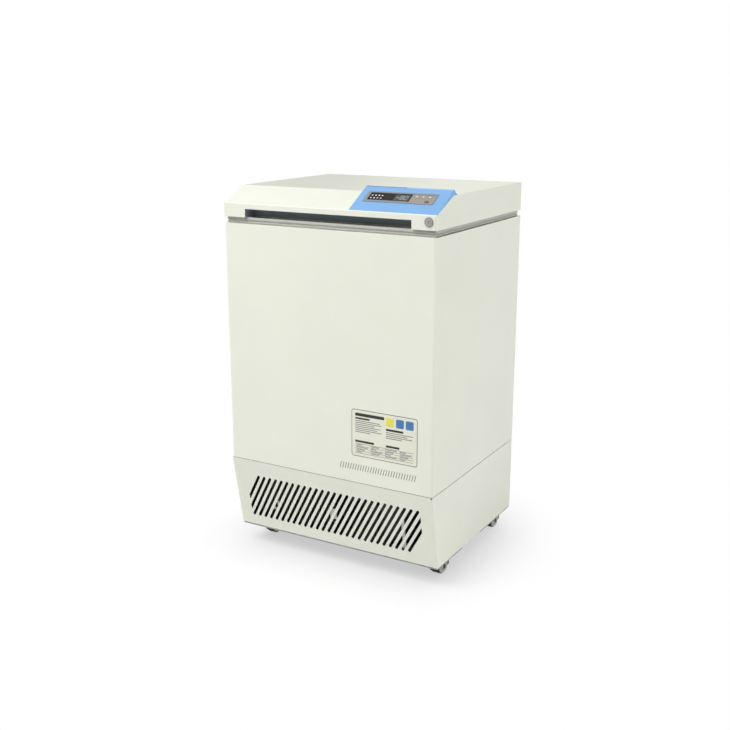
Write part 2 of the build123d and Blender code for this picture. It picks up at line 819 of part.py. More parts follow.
lock_x = half_width - lock_side_inset
lock_z = lid_bottom + lock_height
cam_y = (front_y + lock_length, front_y + lock_length + cam_thickness)
toe_reach = math.hypot(cam_half_width + toe_length, cam_reach)


def console_plane():
    """Plane of the console's face: its x starts at the frame, its y runs up the face, its z out."""
    start = (front_y + console_lip, fascia_top + console_lip)
    end = (front_y + console_rim_depth, lid_top + console_rim_rise)
    rise = math.atan2(end[1] - start[1], end[0] - start[0])
    return Plane(origin=(frame_left, *start), x_dir=(1, 0, 0), z_dir=(0, -math.sin(rise), math.cos(rise)))


def on_console(solid):
    """Move a solid from face coordinates, with z out of the face, to its place."""
    return console_plane().location * solid


def face_slab(x, s, h):
    """Box in face coordinates, moved to its place on the console."""
    return on_console(slab(x, s, h))


def console_well(gap):
    """Room below the console for its electronics, cut through sheet and foam."""
    return face_slab((frame_x[0] + gap, frame_x[1] - gap), (frame_s[0] + gap, frame_s[1] - gap),
                     (-2 * board_depth, 0))


def grip_block(wall, low):
    """Block of the finger recess, grown by its wall."""
    x = grip_half + wall
    return slab((-x, x), (front_y - sheet, front_y + grip_depth + wall), (low, lid_bottom + grip_height + wall))


def cam_sweep():
    """Room that the turning cam needs inside the lid and through its bottom."""
    reach = toe_reach + cam_room
    low = lid_bottom - sheet
    x = (max(lock_x - reach, grip_half + grip_wall + fit_gap), lock_x + lock_body_radius + toe_length / 2)
    return slab(x, (cam_y[0] - cam_room, cam_y[1] + cam_room), (low, lock_z + cam_half_width + cam_room))


def lid_shell():
    """Painted lid skin with its inward rim, recess, lock hole and console well."""
    skin = lid_form(0)
    hollow = lid_form(sheet) & slab((-half_width, half_width), (front_y, back_y), (lid_bottom + sheet, lid_top))
    mouth = rim_opening((lid_bottom - sheet, lid_bottom + 2 * sheet))
    lock_hole = along_y(lock_body_radius + fit_gap, lock_x, (front_y - sheet, front_y + 2 * sheet), lock_z)
    return skin - hollow - mouth - grip_block(0, lid_bottom - sheet) - lock_hole - console_well(0) - cam_sweep()


def grip_recess():
    """Moulded channel behind the fascia that takes the fingers."""
    wall = slab((-half_width, half_width), (front_y + sheet, back_y), (lid_bottom + sheet, lid_top))
    return (grip_block(grip_wall, lid_bottom) & wall) - grip_block(0, lid_bottom - sheet)


def lid_liner():
    """Inner pan of the lid with the hollow plug that enters the tank."""
    top = lid_bottom + sheet + liner_wall
    plate = plan_block(sheet + fit_gap, (lid_bottom + sheet, top), lid_corner_radius)
    plug_low = shell_top - plug_depth
    plug = tank_block(plug_clearance, (plug_low, top))
    hollow = tank_block(plug_clearance + liner_wall, (plug_low + liner_wall, lid_top))
    return plate + plug - hollow - grip_block(grip_wall + fit_gap, lid_bottom) - cam_sweep()


def lid_foam():
    """Foam that fills the lid and its plug."""
    low = lid_bottom + sheet + liner_wall
    block = lid_form(sheet + fit_gap) & slab((-half_width, half_width), (front_y, back_y), (low, lid_top))
    core = tank_block(plug_clearance + liner_wall + fit_gap, (shell_top - plug_depth + liner_wall, low))
    lock_room = slab((grip_half + grip_wall + fit_gap, half_width), (front_y, cam_y[1] + 2 * sheet),
                     (lid_bottom, lock_z + lock_flange_radius + sheet))
    return block + core - grip_block(grip_wall + fit_gap, lid_bottom) - lock_room - console_well(-fit_gap)


def gasket_outline(inset):
    """Plan of the gasket, inset from its outer edge."""
    x = cabinet_width - 2 * gasket_side_inset - 2 * inset
    y = body_depth - gasket_front_inset - gasket_side_inset - 2 * inset
    return Pos(0, tank_y) * Rectangle(x, y)


def lid_gasket():
    """Soft seal with a flat mounting foot and a narrower bulb that meets the rim."""
    foot = gasket_outline(0) - gasket_outline(gasket_width)
    bulb = gasket_outline(sheet * 2) - gasket_outline(gasket_width - sheet * 2)
    half = lid_gap / 3
    ring = Pos(0, 0, lid_bottom - half) * extrude(foot, half)
    return ring + Pos(0, 0, shell_top + fit_gap) * extrude(bulb, lid_gap - half - fit_gap)


# Lock


def lock_housing():
    """Barrel in the fascia with a round flange outside and a nut inside."""
    flange = along_y(lock_flange_radius, lock_x, (front_y - lock_flange, front_y), lock_z)
    flange = chamfer(flange.edges().filter_by(GeomType.CIRCLE).sort_by(Axis.Y)[0], sheet / 2)
    body = along_y(lock_body_radius, lock_x, (front_y, cam_y[0] - fit_gap), lock_z)
    nut = Pos(lock_x, front_y + sheet, lock_z) * Rot(-90, 0, 0) * extrude(
        RegularPolygon(lock_flange_radius, 6), 2 * lock_flange)
    bore = along_y(cylinder_radius + running_gap, lock_x, (front_y - lock_projection, cam_y[1]), lock_z)
    return flange + body + nut - bore


def lock_cylinder():
    """Turning barrel with its key slot."""
    body = along_y(cylinder_radius, lock_x, (front_y - lock_projection, cam_y[0]), lock_z)
    slot = slab((lock_x - key_slot_width / 2, lock_x + key_slot_width / 2),
                (front_y - lock_projection - sheet, front_y - lock_projection + key_slot_depth),
                (lock_z - key_slot_height / 2, lock_z + key_slot_height / 2))
    return body - slot


def lock_cam():
    """Flat cam with a toe, drawn as it lies when the lock is open."""
    arm = [(0, cam_half_width), (-cam_reach + cam_half_width, cam_half_width), (-cam_reach, 0),
           (-cam_reach, -cam_half_width - toe_length), (toe_height - cam_reach, -cam_half_width - toe_length),
           (toe_height - cam_reach, -cam_half_width), (0, -cam_half_width)]
    outline = make_face(Polyline(*arm, close=True)) + Circle(cam_half_width)
    plate = extrude(Plane.XZ * outline, -cam_thickness)
    return Pos(lock_x, cam_y[0], lock_z) * plate


def lock_keeper():
    """Folded bracket on the cabinet rim whose slot takes the cam's toe."""
    near = lock_x + cam_half_width + cam_play
    x = (near, near + keeper_sheet)
    middle = (cam_y[0] + cam_y[1]) / 2
    y = (middle - keeper_depth / 2, middle + keeper_depth / 2)
    wall = slab(x, y, (shell_top, shell_top + keeper_height))
    foot = slab((x[0], min(x[0] + keeper_foot, half_width - sheet)), y, (shell_top, shell_top + keeper_sheet))
    slot = slab((x[0] - over, x[1] + over), (cam_y[0] - cam_play, cam_y[1] + cam_play),
                (lock_z - toe_reach - cam_play, lock_z - cam_reach + toe_height + toe_play))
    return wall + foot - slot


# Console and display


def console_housing():
    """Blue wedge on the lid, hollow below its face, with a pocket for the display frame."""
    lip = (front_y + console_lip, fascia_top + console_lip)
    rim = (front_y + console_rim_depth, lid_top + console_rim_rise)
    tail = (front_y + console_rim_depth + console_tail, lid_top)
    base = (front_y + console_lip, fascia_top + console_lip * slant_rise / slant_depth)
    crown = (front_y + slant_depth, lid_top)
    wedge = side_prism([base, lip, rim, tail, crown], (console_left, half_width))
    run = math.hypot(rim[0] - lip[0], rim[1] - lip[1])
    left = console_left - frame_left
    hollow = face_slab((left + console_wall, left + console_width - console_wall),
                       (frame_s[0] / 2, run - 2 * console_wall), (-3 * board_depth, -console_wall))
    pocket = on_console(rounded_slab((frame_x[0] - fit_gap, frame_x[1] + fit_gap),
                                     (frame_s[0] - fit_gap, frame_s[1] + fit_gap),
                                     (-pocket_depth, console_wall), frame_corner))
    sight = face_slab((window_x[0] + sight_margin, window_x[1] - sight_margin),
                      (window_s[0] + sight_margin, window_s[1] - sight_margin), (-2 * console_wall, over))
    holes = [on_console(upright(plunger_radius + key_gap, *place, (-2 * console_wall, over)))
             for place in key_places.values()]
    posts = [on_console(upright(post_radius, x, s, (-board_depth, -console_wall / 2)))
             for x in (frame_x[0] + board_margin, frame_x[1] - board_margin)
             for s in (frame_s[0] + board_margin, frame_s[1] - board_margin)]
    return wedge - hollow + posts - pocket - sight - holes


def display_frame():
    """Raised silver frame round the window and the keypad."""
    frame = rounded_slab(frame_x, frame_s, (-pocket_depth, frame_proud), frame_corner)
    through = (-pocket_depth - over, frame_proud + over)
    window = slab((window_x[0] - fit_gap, keypad_x[0]), (window_s[0] - fit_gap, window_s[1] + fit_gap), through)
    keypad = slab((keypad_x[0] - fit_gap, keypad_x[1] + fit_gap),
                  (keypad_s[0] - fit_gap, keypad_s[1] + fit_gap), through)
    return on_console(frame - window - keypad)


def display_window():
    """Dark clear window over lamps and digits."""
    return face_slab(window_x, window_s, (-pocket_depth, window_thickness - pocket_depth))


def keypad():
    """Moulded plate with a hole for each key."""
    plate = slab(keypad_x, keypad_s, (-pocket_depth, keypad_thickness - pocket_depth))
    for x, s in key_places.values():
        hole = RectangleRounded(key_width + 2 * key_gap, key_length + 2 * key_gap, key_corner + key_gap)
        plate -= Pos(x, s, -2 * pocket_depth) * extrude(hole, 4 * keypad_thickness)
    return on_console(plate)


def key(place):
    """Key cap with its plunger."""
    x, s = place
    low = key_lift - pocket_depth
    high = keypad_thickness - pocket_depth + key_proud
    cap = Pos(x, s, low) * extrude(RectangleRounded(key_width, key_length, key_corner), high - low)
    cap = fillet(cap.faces().sort_by(Axis.Z)[-1].edges(), key_proud / 2)
    tip = switch_height + key_travel + key_gap - board_depth
    return on_console(cap + upright(plunger_radius, x, s, (tip, low)))


def control_board():
    """Circuit board under the console, with a switch below each key."""
    plate = slab((frame_x[0] + board_margin / 2, frame_x[1] - board_margin / 2),
                 (frame_s[0] + board_margin / 2, frame_s[1] - board_margin / 2),
                 (-board_depth - board_thickness, -board_depth))
    for x, s in key_places.values():
        plate += slab((x - switch_half, x + switch_half), (s - switch_half, s + switch_half),
                      (-board_depth, switch_height - board_depth))
    return on_console(plate)


def display_module():
    """Block of digits on the board, just below the window."""
    return face_slab(digits_x, digits_s, (-board_depth, -pocket_depth - fit_gap))


def status_lights():
    """Two rows of lamps on the board, just below the window."""
    return [on_console(upright(lamp_radius, x, s, (-board_depth, -pocket_depth - fit_gap)))
            for s in lamp_rows for x in lamp_columns]


# Casters

caster_top = skirt_z - rail_thickness
caster_front_y = front_y + caster_front_inset
caster_rear_y = back_y - caster_rear_inset
caster_places = {"front_left": (-1, caster_front_y), "front_right": (1, caster_front_y),
                 "rear_left": (-1, caster_rear_y), "rear_right": (1, caster_rear_y)}
raceway_low = caster_top - caster_plate_thickness - raceway_height
crown_top = raceway_low - fork_gap


def caster_at(side):
    """Distance of a caster's swivel axis from the middle."""
    return side * (half_width - caster_side_inset)


def caster_plates():
    """Fixed top plates with their raceways, one for each caster."""
    plates = []
    half = caster_plate / 2
    for side, y in caster_places.values():
        x = caster_at(side)
        plate = rounded_slab((x - half, x + half), (y - half, y + half),
                             (caster_top - caster_plate_thickness, caster_top), raceway_height)
        ring = upright(raceway_radius, x, y, (raceway_low, caster_top - caster_plate_thickness))
        bore = upright(kingpin_radius + running_gap, x, y,
                       (raceway_low - over, caster_top - caster_plate_thickness))
        plates.append(plate + ring - bore)
    return plates


def caster_fork(side, y):
    """Swivelling fork with its kingpin, and the axle as a second solid."""
    x = caster_at(side)
    inner = wheel_width / 2 + fork_side_gap
    outer = inner + fork_sheet
    hub_y = y + caster_trail
    crown_low = crown_top - fork_sheet
    crown = upright(raceway_radius, x, y, (crown_low, crown_top))
    crown += slab((x - outer, x + outer), (y - raceway_radius / 2, y + raceway_radius), (crown_low, crown_top))
    leg = [(y - raceway_radius / 2, crown_top), (y + raceway_radius, crown_top),
           (hub_y + axle_head, wheel_radius), (hub_y, wheel_radius - axle_head),
           (hub_y - axle_head, wheel_radius)]
    legs = side_prism(leg, (x - outer, x - inner)) + side_prism(leg, (x + inner, x + outer))
    kingpin = upright(kingpin_radius, x, y, (crown_low, caster_top - caster_plate_thickness - fork_gap))
    hole = along_x(axle_radius + running_gap, (x - 2 * outer, x + 2 * outer), hub_y, wheel_radius)
    axle = along_x(axle_radius, (x - outer, x + outer), hub_y, wheel_radius)
    for way in (-1, 1):
        span = sorted((x + way * outer, x + way * (outer + axle_head_thickness)))
        axle += along_x(axle_head, span, hub_y, wheel_radius)
    return [crown + legs + kingpin - hole, axle]


def caster_wheel(side, y):
    """Solid wheel with a rounded tread, a thin web and a bored hub."""
    half = wheel_width / 2
    web = wheel_web / 2
    rim_inner = wheel_radius - wheel_rim
    points = [(-half, axle_radius + running_gap), (-half, wheel_hub_radius), (-web, wheel_hub_radius + web / 2),
              (-web, rim_inner), (-half, rim_inner), (-half, wheel_radius), (half, wheel_radius),
              (half, rim_inner), (web, rim_inner), (web, wheel_hub_radius + web / 2), (half, wheel_hub_radius),
              (half, axle_radius + running_gap)]
    outline = make_face(Polyline(*points, close=True))
    tread = outline.vertices().sort_by(Axis.Y)[-2:]
    outline = fillet(tread, web / 2)
    wheel = revolve(outline, Axis.X)
    return Pos(caster_at(side), y + caster_trail, wheel_radius) * wheel


# Write every node


def all_nodes():
    """Every node's name with its solid or solids."""
    nodes = {
        "base_tray": base_tray(), "base_rails": base_rails(), "frame_posts": frame_posts(),
        "lower_panel_left": lower_panel(-1), "lower_panel_right": lower_panel(1),
        "front_grille": front_grille(), "rear_grille": rear_grille(), "outer_shell": outer_shell(),
        "rear_panel": rear_panel(), "deck_plate": deck_plate(), "foam_body": foam_body(),
        "tank_liner": tank_liner(), "throat_frame": throat_frame(), "evaporator_coil": evaporator_coil(),
        "compressor_high_stage": compressor(compressor_y[0]), "compressor_low_stage": compressor(compressor_y[1]),
        "compressor_mounts": compressor_mounts(), "condenser": condenser(), "fan_shroud": fan_shroud(),
        "fan_motor": fan_motor(), "fan_rotor": fan_rotor(), "filter_driers": filter_driers(),
        "heat_exchanger": heat_exchanger(), "expansion_tank": expansion_tank(),
        "refrigerant_lines": refrigerant_lines(), "control_box": control_box(), "power_inlet": power_inlet(),
        "hinge_bases": hinge_bases(), "hinge_pins": hinge_pins(), "hinge_leaves": hinge_leaves(),
        "lock_keeper": lock_keeper(), "lock_housing": lock_housing(), "lock_cylinder": lock_cylinder(),
        "lock_cam": lock_cam(), "lid_shell": lid_shell(), "lid_foam": lid_foam(), "lid_liner": lid_liner(),
        "lid_gasket": lid_gasket(), "grip_recess": grip_recess(), "console_housing": console_housing(),
        "display_frame": display_frame(), "display_window": display_window(), "keypad": keypad(),
        "control_board": control_board(), "display_module": display_module(),
        "status_lights": status_lights(), "caster_plates": caster_plates(),
    }
    for name, place in key_places.items():
        nodes[name] = key(place)
    for name, (side, y) in caster_places.items():
        nodes["caster_fork_" + name] = caster_fork(side, y)
        nodes["caster_wheel_" + name] = caster_wheel(side, y)
    return nodes


def write_nodes():
    """Write one STEP file for each node."""
    os.makedirs("parts", exist_ok=True)
    for name, shape in all_nodes().items():
        solids = shape if isinstance(shape, list) else list(shape.solids())
        whole = solids[0] if len(solids) == 1 else Compound(children=solids)
        whole.label = name
        export_step(whole, os.path.join("parts", name + ".step"))


write_nodes()
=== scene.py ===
import json
import logging
import math
from dataclasses import dataclass, field
from enum import Enum

import bpy
import numpy as np
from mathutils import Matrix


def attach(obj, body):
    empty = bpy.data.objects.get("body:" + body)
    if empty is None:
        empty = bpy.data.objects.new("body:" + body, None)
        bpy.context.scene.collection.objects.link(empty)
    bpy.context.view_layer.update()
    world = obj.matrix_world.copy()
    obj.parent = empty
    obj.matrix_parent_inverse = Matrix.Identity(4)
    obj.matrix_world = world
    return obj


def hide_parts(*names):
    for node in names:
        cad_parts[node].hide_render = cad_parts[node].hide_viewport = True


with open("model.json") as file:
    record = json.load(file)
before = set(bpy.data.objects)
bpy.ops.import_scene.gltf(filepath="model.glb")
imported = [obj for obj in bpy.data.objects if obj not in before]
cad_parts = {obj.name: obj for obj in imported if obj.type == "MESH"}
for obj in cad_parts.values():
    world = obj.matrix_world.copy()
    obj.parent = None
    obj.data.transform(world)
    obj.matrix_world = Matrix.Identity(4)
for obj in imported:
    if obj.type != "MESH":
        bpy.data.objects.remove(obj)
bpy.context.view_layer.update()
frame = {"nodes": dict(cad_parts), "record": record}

log = logging.getLogger("freezer")
MM = 0.001


# Colours and shader graphs


def linear(red: int, green: int, blue: int) -> tuple[float, float, float, float]:
    """Scene colour of a display colour given in 0 to 255.

    Args:
        red: Red part.
        green: Green part.
        blue: Blue part.

    Returns:
        Linear colour with full alpha.
    """
    parts = np.array([red, green, blue]) / 255.0
    low = parts / 12.92
    high = ((parts + 0.055) / 1.055) ** 2.4
    return (*(float(v) for v in np.where(parts <= 0.04045, low, high)), 1.0)


class Graph:
    """Short way to add and join the nodes of one shader tree."""

    def __init__(self, tree: bpy.types.NodeTree) -> None:
        """Keep the tree and clear it."""
        self.tree = tree
        tree.nodes.clear()

    def join(self, socket: bpy.types.NodeSocket, value: object) -> None:
        """Feed a socket from another socket, or set it to a plain value.

        Args:
            socket: Input that is fed.
            value: Output socket, number, vector or colour.
        """
        if isinstance(value, bpy.types.NodeSocket):
            self.tree.links.new(value, socket)
        else:
            socket.default_value = value

    def add(self, kind: str, settings: dict | None = None, **inputs: object) -> bpy.types.Node:
        """Add one node.

        Args:
            kind: Node type without its common first word.
            settings: Properties of the node.
            inputs: Values for its inputs by name, with underscores for spaces.

        Returns:
            The new node.
        """
        node = self.tree.nodes.new("ShaderNode" + kind)
        for name, value in (settings or {}).items():
            setattr(node, name, value)
        for name, value in inputs.items():
            self.join(node.inputs[name.replace("_", " ")], value)
        return node

    def math(self, operation: str, *values: object) -> bpy.types.NodeSocket:
        """Result of a Math node on the given values."""
        node = self.add("Math", {"operation": operation})
        for socket, value in zip(node.inputs, values):
            self.join(socket, value)
        return node.outputs[0]

    def ramp(self, value: object, low: float, high: float,
             start: float = 0.0, end: float = 1.0) -> bpy.types.NodeSocket:
        """Value carried smoothly from one span to another and held at its ends.

        Args:
            value: Number or socket that is carried.
            low: Where the span starts.
            high: Where the span ends.
            start: Result at the start.
            end: Result at the end.

        Returns:
            The carried value.
        """
        node = self.add("MapRange", {"interpolation_type": "SMOOTHSTEP"})
        for socket, part in zip(node.inputs, (value, low, high, start, end)):
            self.join(socket, part)
        return node.outputs[0]

    def mix(self, factor: object, first: object, second: object, blend: str = "MIX") -> bpy.types.NodeSocket:
        """Mixed colour.

        Args:
            factor: Share of the second colour.
            first: First colour.
            second: Second colour.
            blend: How the second is laid on the first.

        Returns:
            The mixed colour.
        """
        node = self.add("Mix", {"data_type": "RGBA", "blend_type": blend})
        for index, part in zip((0, 6, 7), (factor, first, second)):
            self.join(node.inputs[index], part)
        return node.outputs[2]

    def noise(self, vector: object, scale: object, detail: float = 3.0) -> bpy.types.NodeSocket:
        """Noise value at a vector."""
        return self.add("TexNoise", Vector=vector, Scale=scale, Detail=detail).outputs["Fac"]

    def place(self, group: bpy.types.NodeTree, **inputs: object) -> bpy.types.Node:
        """Place a shared node group and feed its inputs.

        Args:
            group: The shared group.
            inputs: Values for its inputs by name, with underscores for spaces.

        Returns:
            The group node.
        """
        return self.add("Group", {"node_tree": group}, **inputs)


class Kind(Enum):
    """Socket kinds of the shared groups."""

    NUMBER = "NodeSocketFloat"
    COLOUR = "NodeSocketColor"
    VECTOR = "NodeSocketVector"


def open_group(name: str, inputs: dict[str, Kind],
               outputs: dict[str, Kind]) -> tuple[Graph, bpy.types.Node, bpy.types.Node]:
    """Start a shared node group.

    Args:
        name: Name of the group.
        inputs: Input names with their kinds.
        outputs: Output names with their kinds.

    Returns:
        The group's graph, its input node and its output node.
    """
    tree = bpy.data.node_groups.new(name, "ShaderNodeTree")
    graph = Graph(tree)
    for way, sockets in (("INPUT", inputs), ("OUTPUT", outputs)):
        for label, kind in sockets.items():
            tree.interface.new_socket(name=label, in_out=way, socket_type=kind.value)
    return graph, tree.nodes.new("NodeGroupInput"), tree.nodes.new("NodeGroupOutput")


class Effects:
    """Shader effects that several finishes share, each built once as a node group."""

    def __init__(self) -> None:
        """Build every shared group."""
        self.variation = self._variation()
        self.peel = self._peel()
        self.grain = self._grain()
        self.brushing = self._brushing()
        self.dust = self._dust()

    def _variation(self) -> bpy.types.NodeTree:
        """Slow change of colour and roughness.

        Returns:
            Group whose colour is the base colour darkened by broad noise, and whose
            roughness is the base roughness plus the noise times its span.
        """
        graph, into, out = open_group(
            "surface variation",
            {"Vector": Kind.VECTOR, "Scale": Kind.NUMBER, "Colour": Kind.COLOUR, "Depth": Kind.NUMBER,
             "Roughness": Kind.NUMBER, "Span": Kind.NUMBER},
            {"Colour": Kind.COLOUR, "Roughness": Kind.NUMBER})
        broad = graph.noise(into.outputs["Vector"], into.outputs["Scale"], 4.0)
        shade = graph.ramp(broad, 0.3, 0.7)
        amount = graph.math("MULTIPLY", shade, into.outputs["Depth"])
        darker = graph.mix(amount, into.outputs["Colour"], (0.0, 0.0, 0.0, 1.0))
        fine = graph.noise(into.outputs["Vector"], graph.math("MULTIPLY", into.outputs["Scale"], 9.0), 2.0)
        rough = graph.math("MULTIPLY_ADD", fine, into.outputs["Span"], into.outputs["Roughness"])
        graph.join(out.inputs["Colour"], darker)
        graph.join(out.inputs["Roughness"], rough)
        return graph.tree

    def _peel(self) -> bpy.types.NodeTree:
        """Orange peel of stoved paint: two noises, one three times finer, added up."""
        graph, into, out = open_group("orange peel", {"Vector": Kind.VECTOR, "Scale": Kind.NUMBER},
                                      {"Height": Kind.NUMBER})
        waves = graph.noise(into.outputs["Vector"], into.outputs["Scale"], 1.0)
        fine = graph.noise(into.outputs["Vector"], graph.math("MULTIPLY", into.outputs["Scale"], 3.1), 1.0)
        graph.join(out.inputs["Height"], graph.math("MULTIPLY_ADD", fine, 0.35, waves))
        return graph.tree

    def _grain(self) -> bpy.types.NodeTree:
        """Grain of moulded plastic and rubber: distance to scattered cell centres."""
        graph, into, out = open_group("moulded grain", {"Vector": Kind.VECTOR, "Scale": Kind.NUMBER},
                                      {"Height": Kind.NUMBER})
        cells = graph.add("TexVoronoi", Vector=into.outputs["Vector"], Scale=into.outputs["Scale"])
        graph.join(out.inputs["Height"], cells.outputs["Distance"])
        return graph.tree

    def _brushing(self) -> bpy.types.NodeTree:
        """Lines of rolled or brushed metal: noise stretched along one direction.

        Returns:
            Group with the lines as height and as a change of roughness.
        """
        graph, into, out = open_group(
            "brushed lines",
            {"Vector": Kind.VECTOR, "Stretch": Kind.VECTOR, "Roughness": Kind.NUMBER, "Span": Kind.NUMBER},
            {"Height": Kind.NUMBER, "Roughness": Kind.NUMBER})
        stretched = graph.add("VectorMath", {"operation": "MULTIPLY"})
        graph.join(stretched.inputs[0], into.outputs["Vector"])
        graph.join(stretched.inputs[1], into.outputs["Stretch"])
        lines = graph.noise(stretched.outputs[0], 1.0, 2.0)
        graph.join(out.inputs["Height"], lines)
        graph.join(out.inputs["Roughness"],
                   graph.math("MULTIPLY_ADD", lines, into.outputs["Span"], into.outputs["Roughness"]))
        return graph.tree

    def _dust(self) -> bpy.types.NodeTree:
        """Thin dust that settles on faces that look up.

        Returns:
            Group whose colour goes towards dust, and whose roughness rises, with the
            upward part of the normal times patchy noise.
        """
        graph, into, out = open_group(
            "settled dust",
            {"Vector": Kind.VECTOR, "Normal": Kind.VECTOR, "Colour": Kind.COLOUR, "Roughness": Kind.NUMBER,
             "Amount": Kind.NUMBER},
            {"Colour": Kind.COLOUR, "Roughness": Kind.NUMBER})
        parts = graph.add("SeparateXYZ", Vector=into.outputs["Normal"])
        upward = graph.ramp(parts.outputs["Z"], 0.3, 0.95)
        patches = graph.ramp(graph.noise(into.outputs["Vector"], 14.0, 5.0), 0.25, 0.75, 0.35, 1.0)
        amount = graph.math("MULTIPLY", graph.math("MULTIPLY", upward, patches), into.outputs["Amount"])
        graph.join(out.inputs["Colour"], graph.mix(amount, into.outputs["Colour"], linear(176, 172, 163)))
        graph.join(out.inputs["Roughness"], graph.math("MULTIPLY_ADD", amount, 0.5, into.outputs["Roughness"]))
        return graph.tree


class Relief(Enum):
    """Fine relief of a finish."""

    PEEL = "peel"
    GRAIN = "grain"
    BRUSHED = "brushing"


@dataclass(frozen=True)
class Finish:
    """One surface finish of the freezer.

    Lengths are in millimetres. The relief scale counts features per metre, and the
    stretch of a brushed finish counts them along each axis.
    """

    colour: tuple[int, int, int]
    roughness: float = 0.45
    metallic: float = 0.0
    relief: Relief = Relief.GRAIN
    scale: float = 900.0
    height: float = 0.03
    strength: float = 0.25
    depth: float = 0.06
    patch: float = 9.0
    span: float = 0.10
    dust: float = 0.0
    coat: float = 0.0
    coat_roughness: float = 0.1
    specular: float = 0.5
    stretch: tuple[float, float, float] = (30.0, 30.0, 1500.0)

    def build(self, name: str, effects: Effects) -> bpy.types.Material:
        """Make the material.

        Args:
            name: Name of the material.
            effects: Shared node groups.

        Returns:
            The finished material.
        """
        material = bpy.data.materials.new(name)
        material.use_nodes = True
        graph = Graph(material.node_tree)
        coords = graph.add("TexCoord")
        vector = coords.outputs["Object"]
        varied = graph.place(effects.variation, Vector=vector, Scale=self.patch, Colour=linear(*self.colour),
                             Depth=self.depth, Roughness=self.roughness, Span=self.span)
        colour, roughness = varied.outputs["Colour"], varied.outputs["Roughness"]
        if self.relief is Relief.BRUSHED:
            fine = graph.place(effects.brushing, Vector=vector, Stretch=self.stretch, Roughness=roughness,
                               Span=self.span)
            roughness = fine.outputs["Roughness"]
        else:
            group = effects.peel if self.relief is Relief.PEEL else effects.grain
            fine = graph.place(group, Vector=vector, Scale=self.scale)
        if self.dust:
            dusted = graph.place(effects.dust, Vector=vector, Normal=coords.outputs["Normal"], Colour=colour,
                                 Roughness=roughness, Amount=self.dust)
            colour, roughness = dusted.outputs["Colour"], dusted.outputs["Roughness"]
        bump = graph.add("Bump", Strength=self.strength, Distance=self.height * MM, Height=fine.outputs["Height"])
        shader = graph.add("BsdfPrincipled", Base_Color=colour, Roughness=roughness, Metallic=self.metallic,
                           Normal=bump.outputs["Normal"], Coat_Weight=self.coat,
                           Coat_Roughness=self.coat_roughness, Specular_IOR_Level=self.specular)
        graph.add("OutputMaterial", Surface=shader.outputs["BSDF"])
        return material


PAINT = Finish((233, 235, 221), 0.36, relief=Relief.PEEL, scale=420.0, height=0.05, strength=0.22,
               depth=0.025, patch=5.0, span=0.10, dust=0.04, coat=0.12, coat_roughness=0.2)
METAL = Finish((168, 170, 172), 0.34, metallic=1.0, relief=Relief.BRUSHED, height=0.02, strength=0.2,
               depth=0.12, patch=16.0, span=0.16, dust=0.08)
PLASTIC = Finish((196, 196, 189), 0.5, scale=1400.0, height=0.04, strength=0.3, depth=0.05, span=0.12)
RUBBER = Finish((44, 44, 46), 0.62, scale=1800.0, height=0.05, strength=0.35, depth=0.15, patch=24.0,
                span=0.16, dust=0.18, specular=0.35)


def like(finish: Finish, **changes: object) -> Finish:
    """Copy of a finish with some values changed."""
    return Finish(**{**finish.__dict__, **changes})


